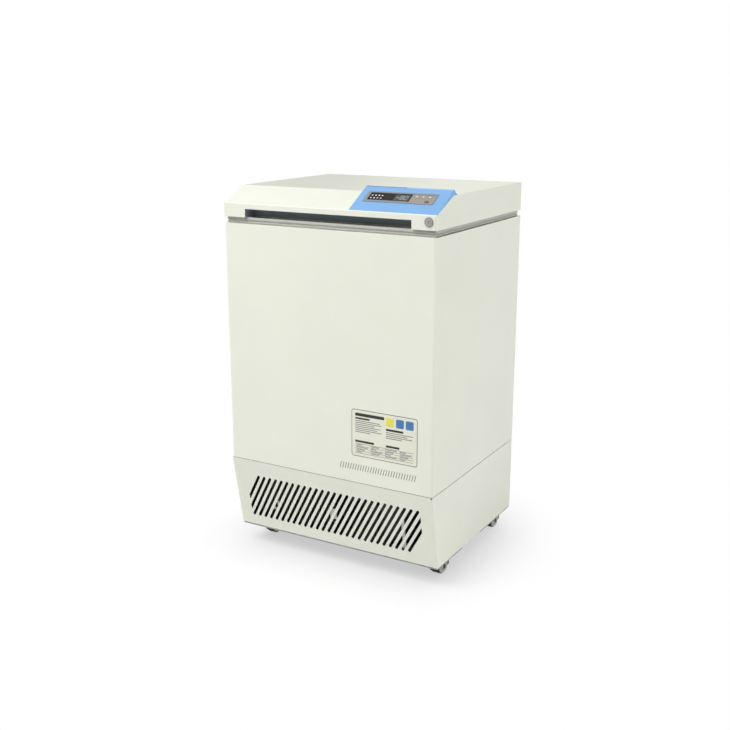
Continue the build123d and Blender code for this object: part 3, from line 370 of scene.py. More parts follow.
FINISHES: dict[str, Finish] = {
    "painted_cream": PAINT,
    "painted_rear": like(PAINT, colour=(226, 228, 216), roughness=0.42),
    "galvanised": like(METAL, colour=(160, 163, 166), roughness=0.4, depth=0.25, patch=60.0),
    "stainless": like(METAL, colour=(200, 201, 202), roughness=0.26, stretch=(40.0, 40.0, 1200.0)),
    "zinc": like(METAL, colour=(176, 176, 172), roughness=0.3, depth=0.18, patch=30.0),
    "black_wheel": RUBBER,
    "foam": like(PLASTIC, colour=(226, 211, 168), roughness=0.85, scale=500.0, height=0.4, strength=0.5),
    "throat_plastic": like(PLASTIC, colour=(200, 201, 195)),
    "liner_plastic": like(PLASTIC, colour=(214, 214, 208)),
    "gasket": like(RUBBER, colour=(206, 205, 198), roughness=0.55, depth=0.05, dust=0.03),
    "recess_plastic": like(PLASTIC, colour=(132, 141, 149), roughness=0.5),
    "copper": like(METAL, colour=(196, 124, 88), roughness=0.3, depth=0.3, patch=40.0),
    "compressor_black": like(PAINT, colour=(40, 40, 42), depth=0.2, dust=0.15),
    "mount_rubber": RUBBER,
    "condenser_fins": like(METAL, colour=(86, 86, 82), roughness=0.5, depth=0.35, patch=40.0),
    "shroud_black": like(PLASTIC, colour=(46, 46, 48), dust=0.15),
    "motor_body": like(PAINT, colour=(74, 75, 78), dust=0.12),
    "fan_blades": like(METAL, colour=(150, 152, 154), dust=0.12),
    "insulation_black": like(RUBBER, colour=(36, 36, 37), roughness=0.8, scale=400.0, height=0.3),
    "vessel_black": like(PAINT, colour=(52, 52, 54), depth=0.2, dust=0.12),
    "inlet_black": like(PLASTIC, colour=(40, 40, 41)),
    "hinge_steel": like(METAL, colour=(165, 165, 161), roughness=0.36),
    "lock_metal": like(METAL, colour=(164, 164, 160), roughness=0.24, depth=0.08, stretch=(900.0, 40.0, 900.0)),
    "console_blue": like(PLASTIC, colour=(126, 174, 224), roughness=0.38, scale=1200.0, height=0.03,
                         depth=0.04, patch=14.0, coat=0.1, coat_roughness=0.2, specular=0.35),
    "frame_silver": like(PLASTIC, colour=(134, 140, 149), roughness=0.4, depth=0.08),
    "window_dark": like(PLASTIC, colour=(33, 31, 28), roughness=0.3, height=0.004, span=0.05, depth=0.15,
                        specular=0.12),
    "keypad_taupe": like(PLASTIC, colour=(150, 142, 135), roughness=0.48),
    "key_taupe": like(PLASTIC, colour=(158, 150, 142), roughness=0.42),
    "key_dark": like(PLASTIC, colour=(92, 86, 82), roughness=0.42),
    "board_green": like(PLASTIC, colour=(46, 110, 72), roughness=0.35, depth=0.2, patch=80.0),
    "digits_dark": like(PLASTIC, colour=(58, 58, 58), roughness=0.3),
    "lamp_clear": like(PLASTIC, colour=(236, 238, 238), roughness=0.2),
}

PRINTS: dict[str, Finish] = {
    "label_ground": like(PAINT, colour=(231, 231, 215), roughness=0.5, coat=0.1, scale=700.0),
    "label_outline": like(PLASTIC, colour=(58, 62, 66)),
    "label_blue": like(PLASTIC, colour=(70, 122, 178)),
    "label_yellow": like(PLASTIC, colour=(232, 224, 96)),
    "label_dark": like(PLASTIC, colour=(34, 35, 36)),
    "label_grey": like(PLASTIC, colour=(128, 131, 130)),
    "print_white": like(PLASTIC, colour=(240, 241, 240), roughness=0.4),
    "print_pale": like(PLASTIC, colour=(186, 192, 193), roughness=0.3),
    "display_ground": like(PLASTIC, colour=(78, 79, 78), roughness=0.3, specular=0.15),
    # Painted highlight and painted shade for the thin lines along the console's top rim.
    "rim_painted_highlight": like(PLASTIC, colour=(206, 226, 244), roughness=0.3),
    "rim_painted_shade": like(PLASTIC, colour=(88, 112, 142), roughness=0.4),
    "screw_steel": like(METAL, colour=(178, 178, 174), roughness=0.28, depth=0.2, patch=200.0),
    "fork_zinc": like(METAL, colour=(176, 176, 168), roughness=0.4, depth=0.35, patch=70.0),
    # Dark metal of the nuts and axles, also used as the painted shade of openings on the brake tabs.
    "nut_dark_and_slot_shade": like(METAL, colour=(60, 60, 58), roughness=0.4),
    # Painted shade on the outer edge of the lock's flange.
    "lock_edge_painted_shade": like(METAL, colour=(96, 97, 96), roughness=0.32),
    "bracket_pale": like(PAINT, colour=(214, 215, 206), roughness=0.5, coat=0.0),
    # Painted shade of a small hole at the end of the front seam.
    "hole_painted_shade": like(RUBBER, colour=(38, 38, 38)),
    "seam_grey": like(RUBBER, colour=(128, 129, 122)),
    "lip_grey": like(RUBBER, colour=(184, 184, 178), roughness=0.55, depth=0.05, dust=0.03),
}


class Palette:
    """Every material of the freezer, made once and found by name."""

    def __init__(self, effects: Effects) -> None:
        """Build all finishes on the shared effects."""
        self.materials = {name: finish.build(name, effects) for name, finish in {**FINISHES, **PRINTS}.items()}

    def dress_frame(self) -> None:
        """Give every node of the frame the material of its slot."""
        for row in frame["record"]["subparts"]:
            node = frame["nodes"][row["node"]]
            if not node.data.materials:
                node.data.materials.append(None)
            for place in node.material_slots:
                place.material = self.materials[row["material_slot"]]


# Surfaces worked out as whole arrays


@dataclass(frozen=True)
class Shape:
    """Points and faces of one closed surface."""

    points: np.ndarray
    faces: list[tuple[int, ...]]


@dataclass(frozen=True)
class Place:
    """A flat place on the freezer: an origin and two directions in its face, in metres."""

    origin: tuple[float, float, float]
    across: tuple[float, float, float] = (1.0, 0.0, 0.0)
    upward: tuple[float, float, float] = (0.0, 0.0, 1.0)

    def at(self, local: np.ndarray) -> np.ndarray:
        """Points given across, up and out of the face in millimetres, as points in metres.

        Args:
            local: Array of rows (across, up, out).

        Returns:
            origin + across * a + upward * b + (across x upward) * c for each row.
        """
        out = np.cross(self.across, self.upward)
        return np.asarray(self.origin) + (local * MM) @ np.array([self.across, self.upward, out])


def ring_faces(rows: int, columns: int, wrap_rows: bool = False) -> np.ndarray:
    """Quads of a grid whose columns close on themselves.

    Args:
        rows: Number of rows.
        columns: Number of columns.
        wrap_rows: Whether the last row also meets the first.

    Returns:
        Array of four indexes for each quad, outward when the columns run round and
        the rows run up.
    """
    i, j = np.meshgrid(np.arange(rows if wrap_rows else rows - 1), np.arange(columns), indexing="ij")
    i_next, j_next = (i + 1) % rows, (j + 1) % columns
    quads = np.stack([i * columns + j, i * columns + j_next, i_next * columns + j_next, i_next * columns + j], -1)
    return quads.reshape(-1, 4)


def lathe(profile: list[tuple[float, float]], place: Place, center: tuple[float, float] = (0.0, 0.0),
          count: int = 20) -> Shape:
    """Turned piece that stands on a place.

    Point (i, j) lies at radius r_i and height h_i at the angle 2 pi j / count. The first
    and the last point of the profile are on the axis and close the piece.

    Args:
        profile: Radius and height of each point in millimetres, from the bottom up.
        place: Place that it stands on.
        center: Its middle on that place in millimetres.
        count: Number of steps round.

    Returns:
        The closed surface.
    """
    profile_array = np.array(profile, float)
    angle = 2 * np.pi * np.arange(count) / count
    radius, height = profile_array[1:-1, :1], profile_array[1:-1, 1:]
    rings = np.stack([center[0] + radius * np.cos(angle), center[1] + radius * np.sin(angle),
                      height + 0 * angle], -1).reshape(-1, 3)
    poles = np.array([[*center, profile_array[0, 1]], [*center, profile_array[-1, 1]]])
    rows = len(profile) - 2
    low, high = len(rings), len(rings) + 1
    step = np.arange(count)
    after = (step + 1) % count
    top = (rows - 1) * count
    faces = [tuple(quad) for quad in ring_faces(rows, count).tolist()]
    faces += np.stack([np.full(count, low), after, step], -1).tolist()
    faces += np.stack([top + step, top + after, np.full(count, high)], -1).tolist()
    return Shape(place.at(np.vstack([rings, poles])), faces)


def hoop(profile: list[tuple[float, float]], place: Place, center: tuple[float, float], count: int = 32) -> Shape:
    """Closed section turned round an axis that it does not touch.

    Point (i, j) lies at radius r_i and height h_i at the angle 2 pi j / count.

    Args:
        profile: Radius and height of each point in millimetres, counterclockwise.
        place: Place that the ring lies on.
        center: Its middle on that place in millimetres.
        count: Number of steps round.

    Returns:
        The closed ring.
    """
    section = np.array(profile, float)
    angle = 2 * np.pi * np.arange(count) / count
    radius, height = section[:, :1], section[:, 1:]
    rings = np.stack([center[0] + radius * np.cos(angle), center[1] + radius * np.sin(angle),
                      height + 0 * angle], -1).reshape(-1, 3)
    return Shape(place.at(rings), [tuple(quad) for quad in ring_faces(len(section), count, True).tolist()])


def plate(outline: np.ndarray, place: Place, low: float, high: float) -> Shape:
    """Flat piece with an outline, between two heights over a place.

    The outline's points p_k give (p_k, low) and (p_k, high), closed by a face below,
    a face above and one quad for each edge.

    Args:
        outline: Rows of across and up in millimetres, counterclockwise and convex.
        place: Place that it lies on.
        low: Lower height in millimetres.
        high: Upper height in millimetres.

    Returns:
        The closed surface.
    """
    count = len(outline)
    rings = np.vstack([np.column_stack([outline, np.full(count, level)]) for level in (low, high)])
    faces = [tuple(quad) for quad in ring_faces(2, count).tolist()]
    faces += [tuple(range(count))[::-1], tuple(range(count, 2 * count))]
    return Shape(place.at(rings), faces)


def bar(x: tuple[float, float], y: tuple[float, float], radius: float = 0.0, steps: int = 5) -> np.ndarray:
    """Outline of a bar with rounded corners.

    Each corner is a quarter circle: corner middle + radius * (cos t, sin t).

    Args:
        x: Lowest and highest value across.
        y: Lowest and highest value up.
        radius: Corner radius; zero gives a plain rectangle.
        steps: Points on each corner.

    Returns:
        Rows of points, counterclockwise.
    """
    if not radius:
        return np.array([(x[0], y[0]), (x[1], y[0]), (x[1], y[1]), (x[0], y[1])], float)
    quarter = np.linspace(0, np.pi / 2, steps)
    angle = np.concatenate([quarter + start for start in (np.pi, 1.5 * np.pi, 0.0, 0.5 * np.pi)])
    middle_x = np.repeat([x[0] + radius, x[1] - radius, x[1] - radius, x[0] + radius], steps)
    middle_y = np.repeat([y[0] + radius, y[0] + radius, y[1] - radius, y[1] - radius], steps)
    return np.column_stack([middle_x + radius * np.cos(angle), middle_y + radius * np.sin(angle)])


def frame_ring(profile: np.ndarray, half: tuple[float, float], middle: tuple[float, float]) -> Shape:
    """Section carried round a rectangle with mitred corners.

    A section point (u, z) at the corner with signs (a, b) lies at
    (middle + a * (half + u), middle + b * (half + u), z).

    Args:
        profile: Rows of outward offset and level in millimetres, counterclockwise.
        half: Half sizes of the rectangle in millimetres.
        middle: Middle of the rectangle in millimetres.

    Returns:
        The closed ring.
    """
    signs = np.array([(-1, -1), (1, -1), (1, 1), (-1, 1)], float)
    outward = profile[:, None, 0]
    x = middle[0] + signs[:, 0] * (half[0] + outward)
    y = middle[1] + signs[:, 1] * (half[1] + outward)
    z = np.repeat(profile[:, 1:], 4, axis=1)
    points = np.stack([x, y, z], -1).reshape(-1, 3) * MM
    return Shape(points, [tuple(quad) for quad in ring_faces(len(profile), 4, True).tolist()])


def smoothed(profile: np.ndarray, rounds: int = 2) -> np.ndarray:
    """Closed outline with its corners cut at a quarter and three quarters of each side, a few times over."""
    for _ in range(rounds):
        after = np.roll(profile, -1, axis=0)
        profile = np.stack([0.75 * profile + 0.25 * after, 0.25 * profile + 0.75 * after], 1).reshape(-1, 2)
    return profile


def add_piece(name: str, shapes: list[Shape], material: bpy.types.Material, body: str,
              sharp: float = 32.0) -> bpy.types.Object:
    """Put shapes into one object at the origin and let it ride on a body.

    Args:
        name: Name of the piece.
        shapes: Its closed surfaces.
        material: Its material.
        body: Body that it rides on.
        sharp: Angle in degrees past which an edge stays sharp.

    Returns:
        The new object.
    """
    starts = np.cumsum([0] + [len(shape.points) for shape in shapes[:-1]])
    faces = [tuple(int(index + start) for index in face) for start, shape in zip(starts, shapes)
             for face in shape.faces]
    mesh = bpy.data.meshes.new(name)
    mesh.from_pydata(np.vstack([shape.points for shape in shapes]).tolist(), [], faces)
    mesh.materials.append(material)
    mesh.shade_smooth()
    mesh.set_sharp_from_angle(angle=math.radians(sharp))
    mesh.update()
    piece = bpy.data.objects.new(name, mesh)
    bpy.context.scene.collection.objects.link(piece)
    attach(piece, body)
    log.info("%s: %d faces on %s", name, len(faces), body)
    return piece


def screw(place: Place, center: tuple[float, float], radius: float = 4.0, height: float = 2.0) -> Shape:
    """Domed screw head with a recess in its middle.

    Args:
        place: Place that it is driven into.
        center: Its middle there in millimetres.
        radius: Radius of the head in millimetres.
        height: Height of the head in millimetres.

    Returns:
        The closed surface.
    """
    profile = [(0, 0), (radius, 0), (radius, 0.3 * height), (0.86 * radius, 0.72 * height),
               (0.62 * radius, 0.95 * height), (0.42 * radius, height), (0.36 * radius, 0.92 * height),
               (0.3 * radius, 0.35 * height), (0, 0.3 * height)]
    return lathe(profile, place, center, 18)


@dataclass
class Cabinet:
    """Cabinet with its printed places, screws and the painted shade of a small hole in the seam. Sizes in millimetres.
    """

    half_width: float = 338.5
    front: float = -299.0
    back: float = 275.0
    seam: float = 294.0
    top: float = 1005.0
    skirt: float = 65.0
    label_x: tuple[float, float] = (83.5, 291.0)
    label_z: tuple[float, float] = (374.0, 512.0)
    rule_x: tuple[float, float] = (44.0, 293.0)
    rule_z: tuple[float, float] = (331.0, 349.0)
    film: float = 0.18
    grille_lean: tuple[float, float] = (43.6, 227.4)
    bracket_depth: float = 6.5

    def front_place(self) -> Place:
        """Front face, seen from the front."""
        return Place((0.0, self.front * MM, 0.0))

    def rear_place(self) -> Place:
        """Rear face, seen from behind."""
        return Place((0.0, self.back * MM, 0.0), (-1.0, 0.0, 0.0))

    def build(self, palette: Palette) -> None:
        """Make every piece of the cabinet.

        Args:
            palette: All materials.
        """
        self.label(palette)
        self.rule(palette)
        self.brackets(palette)
        self.rear_screws(palette)
        self.seam_hole_shade(palette)

    def label(self, palette: Palette) -> None:
        """Plain printed label: outline, ground, blocks, two columns of lines and a table, in layers of film."""
        place = self.front_place()
        x0, x1 = self.label_x
        z0, z1 = self.label_z
        left, right = x0 + 12, x1 - 12
        levels = np.linspace(z0 + 10, z0 + 38, 5)
        columns = np.linspace(left, right, 5)
        lines = [(left, left + length, z1 - 34 - 5.4 * i) for i, length in enumerate((78, 84, 62, 80, 70, 84, 48))]
        lines += [(left + 98, left + 98 + length, z1 - 54 - 5.4 * i) for i, length in enumerate((84, 66, 82, 50))]
        lines += [(x + 4, x + 4 + 9 * (2 + (i + j) % 3), z + 2.8) for i, x in enumerate(columns[:-1])
                  for j, z in enumerate(levels[:-1])]
        headings = [((left, left + 92), (z1 - 19, z1 - 10)), ((left, left + 46), (z1 - 28, z1 - 23)),
                    ((left + 98, left + 152), (z1 - 48, z1 - 42)), ((left, left + 60), (z0 + 42, z0 + 48)),
                    ((left + 98, left + 140), (z0 + 42, z0 + 48))]
        layers = {
            "label_outline": [bar(self.label_x, self.label_z, 7.0)],
            "label_ground": [bar((x0 + 1.6, x1 - 1.6), (z0 + 1.6, z1 - 1.6), 5.6)],
            "label_blue": [bar((right - 54, right - 30), (z1 - 35, z1 - 10), 3.0),
                           bar((right - 24, right), (z1 - 35, z1 - 10), 3.0)],
            "label_dark": [bar(x, z, 1.0, 3) for x, z in headings]
            + [bar((left, right), (z - 0.4, z + 0.4)) for z in levels],
            "label_yellow": [bar((left + 98, left + 122), (z1 - 35, z1 - 10), 3.0)],
            "label_grey": [bar((start, end), (z, z + 2.2)) for start, end, z in lines],
        }
        height = 0.0
        for name, outlines in layers.items():
            top = height + self.film if name in ("label_outline", "label_ground") else 3 * self.film
            shapes = [plate(outline, place, height, top) for outline in outlines]
            add_piece(name, shapes, palette.materials[name], "cabinet")
            height = min(top, 2 * self.film)

    def rule(self, palette: Palette) -> None:
        """Row of slanting strokes that fills the lettering's place."""
        low, high = self.rule_z
        stroke = np.array([(0.0, low), (2.2, low), (6.6, high), (4.4, high)])
        starts = np.arange(self.rule_x[0], self.rule_x[1] - 6.0, 8.2)
        shapes = [plate(stroke + (start, 0.0), self.front_place(), 0.0, self.film) for start in starts]
        add_piece("front_rule", shapes, palette.materials["label_grey"], "cabinet")

    def brackets(self, palette: Palette) -> None:
        """Pale brackets and tabs that show through the slots of the front grille."""
        lean, height = self.grille_lean
        length = math.hypot(lean, height)
        behind = (self.front + lean + self.bracket_depth) * MM
        place = Place((0.0, behind, self.skirt * MM), (1.0, 0.0, 0.0), (0.0, -lean / length, height / length))
        spots = [((-9.0, 13.0), (86.0, 121.0)), ((230.0, 240.0), (40.0, 143.0)), ((-198.0, -191.0), (88.0, 103.0)),
                 ((-214.0, -206.0), (70.0, 80.0))]
        shapes = [plate(bar(x, s, 2.0), place, 0.0, 1.6) for x, s in spots]
        add_piece("machine_brackets", shapes, palette.materials["bracket_pale"], "cabinet")

    def rear_screws(self, palette: Palette) -> None:
        """Screws along the edges of the rear panel and of the rear grille."""
        place = self.rear_place()
        edge = self.half_width - 12.0
        levels = np.linspace(self.seam + 14, self.top - 14, 6)
        spots = [(side * edge, level) for side in (-1, 1) for level in levels]
        spots += [(x, self.seam + 14) for x in np.linspace(-0.6 * edge, 0.6 * edge, 4)]
        spots += [(x, z) for x in np.linspace(-edge, edge, 5) for z in (self.skirt + 12, self.seam - 14)]
        add_piece("rear_screws", [screw(place, spot) for spot in spots], palette.materials["screw_steel"],
                  "cabinet")

    def seam_hole_shade(self, palette: Palette) -> None:
        """Small dark disc at the right end of the front seam: painted shade of a small hole there."""
        profile = [(0, -0.2), (2.0, -0.2), (2.0, 0.1), (1.4, 0.35), (0, 0.4)]
        shape = lathe(profile, self.front_place(), (self.half_width - 3.4, self.seam - 4.0), 16)
        add_piece("seam_hole_shade", [shape], palette.materials["hole_painted_shade"], "cabinet")


@dataclass
class Lid:
    """Lid with its folded rubber seal and a painted shade ring on the edge of its lock. Sizes in millimetres."""

    seal_half: tuple[float, float] = (314.5, 242.5)
    seal_middle: tuple[float, float] = (0.0, 8.5)
    lip_half: tuple[float, float] = (331.5, 277.0)
    lip_middle: tuple[float, float] = (0.0, -12.5)
    lip_width: float = 2.0
    lip_side: list[tuple[float, float]] = field(default_factory=lambda: [
        (-1.2, 0.3), (0.6, 1.4), (0.9, 3.6), (0.6, 5.8), (-1.0, 6.8), (-1.0, 8.0), (0.8, 9.0), (1.3, 11.4),
        (1.0, 14.6), (-0.4, 15.8), (-0.4, 17.6)])
    bottom: float = 1023.0
    rim: float = 1005.3
    front: float = -299.0
    fascia_top: float = 1062.5
    slant: tuple[float, float] = (97.0, 42.3)
    seam_x: tuple[float, float] = (334.9, 335.5)
    lock: tuple[float, float] = (316.0, 1044.6)
    outer_side: list[tuple[float, float]] = field(default_factory=lambda: [
        (9.8, 0.0), (10.6, 1.8), (10.4, 4.0), (9.2, 5.0), (9.2, 6.2), (10.5, 7.4), (10.8, 9.4), (10.5, 11.4),
        (9.3, 12.4), (9.3, 13.6), (10.8, 15.0), (11.0, 17.7)])

    def build(self, palette: Palette) -> None:
        """Make every piece of the lid.

        Args:
            palette: All materials.
        """
        self.seal(palette)
        self.lip(palette)
        self.lock_shade_ring(palette)
        self.edge_seam(palette)

    def lock_shade_ring(self, palette: Palette) -> None:
        """Dark ring painted on the outer edge of the lock's flange as the shade of that edge."""
        section = [(11.0, 2.3), (12.1, 2.3), (12.1, 2.6), (11.6, 2.9), (11.0, 2.9)]
        shape = hoop(section, Place((0.0, self.front * MM, 0.0)), self.lock)
        add_piece("lock_shade_ring", [shape], palette.materials["lock_edge_painted_shade"], "lid")

    def edge_seam(self, palette: Palette) -> None:
        """Fine dark seam beside the front right edge, up the fascia and along the slanted face."""
        low, high = self.seam_x
        depth, rise = self.slant
        length = math.hypot(depth, rise)
        slope = Place((0.0, self.front * MM, self.fascia_top * MM), (1.0, 0.0, 0.0),
                      (0.0, depth / length, rise / length))
        shapes = [plate(bar((low, high), (self.bottom + 1.0, self.fascia_top - 2.5)),
                        Place((0.0, self.front * MM, 0.0)), -0.1, 0.12),
                  plate(bar((low, high), (3.0, length - 3.0)), slope, -0.1, 0.12)]
        add_piece("lid_edge_seam", shapes, palette.materials["seam_grey"], "lid")

    def lip(self, palette: Palette) -> None:
        """Thin outer lip that hangs from the lid near its faces and closes the gap to dust."""
        outer = np.array(self.lip_side)
        inner = outer[::-1] * (0.0, 1.0) + (-self.lip_width, 0.0)
        profile = np.vstack([outer, inner]) + (0.0, self.rim)
        ring = frame_ring(profile, self.lip_half, self.lip_middle)
        add_piece("lid_lip", [ring], palette.materials["lip_grey"], "lid", 50.0)

    def seal(self, palette: Palette) -> None:
        """Seal: a magnet foot, one fold and the flange that snaps into the lid."""
        outer = np.array(self.outer_side)
        inner = outer[::-1] * (-1, 1)
        profile = smoothed(np.vstack([outer, inner])) + (0.0, self.rim)
        profile[:, 1] = np.clip(profile[:, 1], self.rim, self.bottom)
        seal = add_piece("lid_seal", [frame_ring(profile, self.seal_half, self.seal_middle)],
                         palette.materials["gasket"], "lid", 50.0)
        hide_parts("lid_gasket")


SEGMENTS = {"minus": "g", "8": "abcdefg", "0": "abcdef"}


@dataclass
class Console:
    """Console face with its printed marks, its rim's painted highlight and shade, digits and key signs. Sizes in
    millimetres.
    """

    left: float = 97.0
    front: float = -299.0
    lip: float = 1.4
    fascia_top: float = 1062.5
    rim_depth: float = 99.0
    rim_top: float = 1119.8
    lamp_columns: tuple[float, ...] = (19.0, 29.0, 39.0, 49.0)
    lamp_rows: tuple[float, ...] = (57.5, 69.5)
    window_top: float = 0.5
    key_top: float = 1.5
    digit_x: float = 93.0
    digit_s: float = 56.0
    digit_size: tuple[float, float] = (8.4, 16.0)
    digit_pitch: float = 12.4
    keys: dict[str, tuple[float, float]] = field(default_factory=lambda: {
        "key_alarm": (152.0, 71.0), "key_up": (171.0, 71.0), "key_down": (190.0, 71.0)})

    def place(self) -> Place:
        """Face of the console, with its origin at the left end of the display frame."""
        depth = self.rim_depth - self.lip
        rise = self.rim_top - self.fascia_top - self.lip
        length = math.hypot(depth, rise)
        origin = (self.left * MM, (self.front + self.lip) * MM, (self.fascia_top + self.lip) * MM)
        return Place(origin, (1.0, 0.0, 0.0), (0.0, depth / length, rise / length))

    def build(self, palette: Palette) -> None:
        """Make every piece of the console.

        Args:
            palette: All materials.
        """
        self.rim_lines(palette)
        self.lamps(palette)
        self.digits(palette)
        self.key_signs(palette)

    def rim_lines(self, palette: Palette) -> None:
        """Thin lines along the top rim: painted shade on its left half and a painted highlight on its right half."""
        length = math.hypot(self.rim_depth - self.lip, self.rim_top - self.fascia_top - self.lip)
        # Painted shade on the left half, painted highlight on the right half.
        for name, x in (("rim_painted_shade", (-19.0, 104.0)), ("rim_painted_highlight", (104.0, 238.0))):
            shape = plate(bar(x, (length - 3.4, length - 1.8), 0.7, 3), self.place(), -0.1, 0.15)
            add_piece("console_" + name, [shape], palette.materials[name], "lid")

    def lamps(self, palette: Palette) -> None:
        """Small domed lamp windows in two rows."""
        low = self.window_top - 0.1
        profile = [(0, low), (2.3, low), (2.3, low + 0.25), (1.8, low + 0.5), (1.0, low + 0.65), (0, low + 0.7)]
        shapes = [lathe(profile, self.place(), (x, s), 16) for s in self.lamp_rows for x in self.lamp_columns]
        add_piece("lamp_windows", shapes, palette.materials["print_white"], "lid")

    def segment(self, letter: str, x: float, s: float) -> np.ndarray:
        """Outline of one segment of a digit.

        Args:
            letter: Segment name, a to g, clockwise from the top and g in the middle.
            x: Left end of the digit.
            s: Lower end of the digit.

        Returns:
            Six points, counterclockwise, of a bar with pointed ends.
        """
        width, height = self.digit_size
        half = 0.75
        lying = {"a": (0, height), "g": (0, height / 2), "d": (0, 0)}
        standing = {"f": (0, height / 2), "b": (width, height / 2), "e": (0, 0), "c": (width, 0)}
        if letter in lying:
            start, length = np.array(lying[letter]), width
        else:
            start, length = np.array(standing[letter]), height / 2
        tip, body = 0.35, 0.35 + half
        flat = np.array([(tip, 0), (body, -half), (length - body, -half), (length - tip, 0),
                         (length - body, half), (body, half)])
        if letter not in lying:
            flat = np.column_stack([-flat[:, 1], flat[:, 0]])
        return flat + start + (x, s)

    def digits(self, palette: Palette) -> None:
        """Digits of the temperature display, as thin bars on a grey field of the window."""
        ground = plate(bar((88.0, 132.0), (51.5, 77.5), 2.0), self.place(),
                       self.window_top - 0.1, self.window_top + 0.02)
        add_piece("display_ground", [ground], palette.materials["display_ground"], "lid")
        shapes = []
        for index, sign in enumerate(("minus", "8", "0")):
            x = self.digit_x + index * self.digit_pitch
            shapes += [plate(self.segment(letter, x, self.digit_s), self.place(), self.window_top - 0.1,
                             self.window_top + 0.06) for letter in SEGMENTS[sign]]
        add_piece("display_digits", shapes, palette.materials["print_pale"], "lid")

    def key_signs(self, palette: Palette) -> None:
        """Sound sign and two arrows, one on each key."""
        arrow = np.array([(-3.1, -2.0), (3.1, -2.0), (0.0, 2.8)])
        dome = np.column_stack([2.4 * np.cos(np.linspace(0, np.pi, 9)), 2.8 * np.sin(np.linspace(0, np.pi, 9)) - 0.5])
        signs = {"key_alarm": [dome, bar((-3.2, 3.2), (-2.4, -1.2))], "key_up": [arrow],
                 "key_down": [(arrow * (1, -1))[::-1]]}
        for name, outlines in signs.items():
            shapes = [plate(outline + self.keys[name], self.place(), self.key_top - 0.05, self.key_top + 0.08)
                      for outline in outlines]
            add_piece(name + "_sign", shapes, palette.materials["print_white"], name + "_body")


@dataclass
class Hinges:
    """Screws in the plates of the two rear hinges. Sizes in millimetres."""

    centers: tuple[float, float] = (-230.0, 230.0)
    plate_face: float = 278.0
    base_levels: tuple[float, ...] = (970.0, 990.0)
    leaf_levels: tuple[float, ...] = (1042.0, 1062.0)
    reach: float = 21.0

    def build(self, palette: Palette) -> None:
        """Make the screws of both halves.

        Args:
            palette: All materials.
        """
        place = Place((0.0, self.plate_face * MM, 0.0), (-1.0, 0.0, 0.0))
        for name, levels, body in (("hinge_base_screws", self.base_levels, "cabinet"),
                                   ("hinge_leaf_screws", self.leaf_levels, "lid")):
            shapes = [screw(place, (center + side * self.reach, level), 3.6, 1.8) for center in self.centers
                      for side in (-1, 1) for level in levels]
            add_piece(name, shapes, palette.materials["screw_steel"], body)


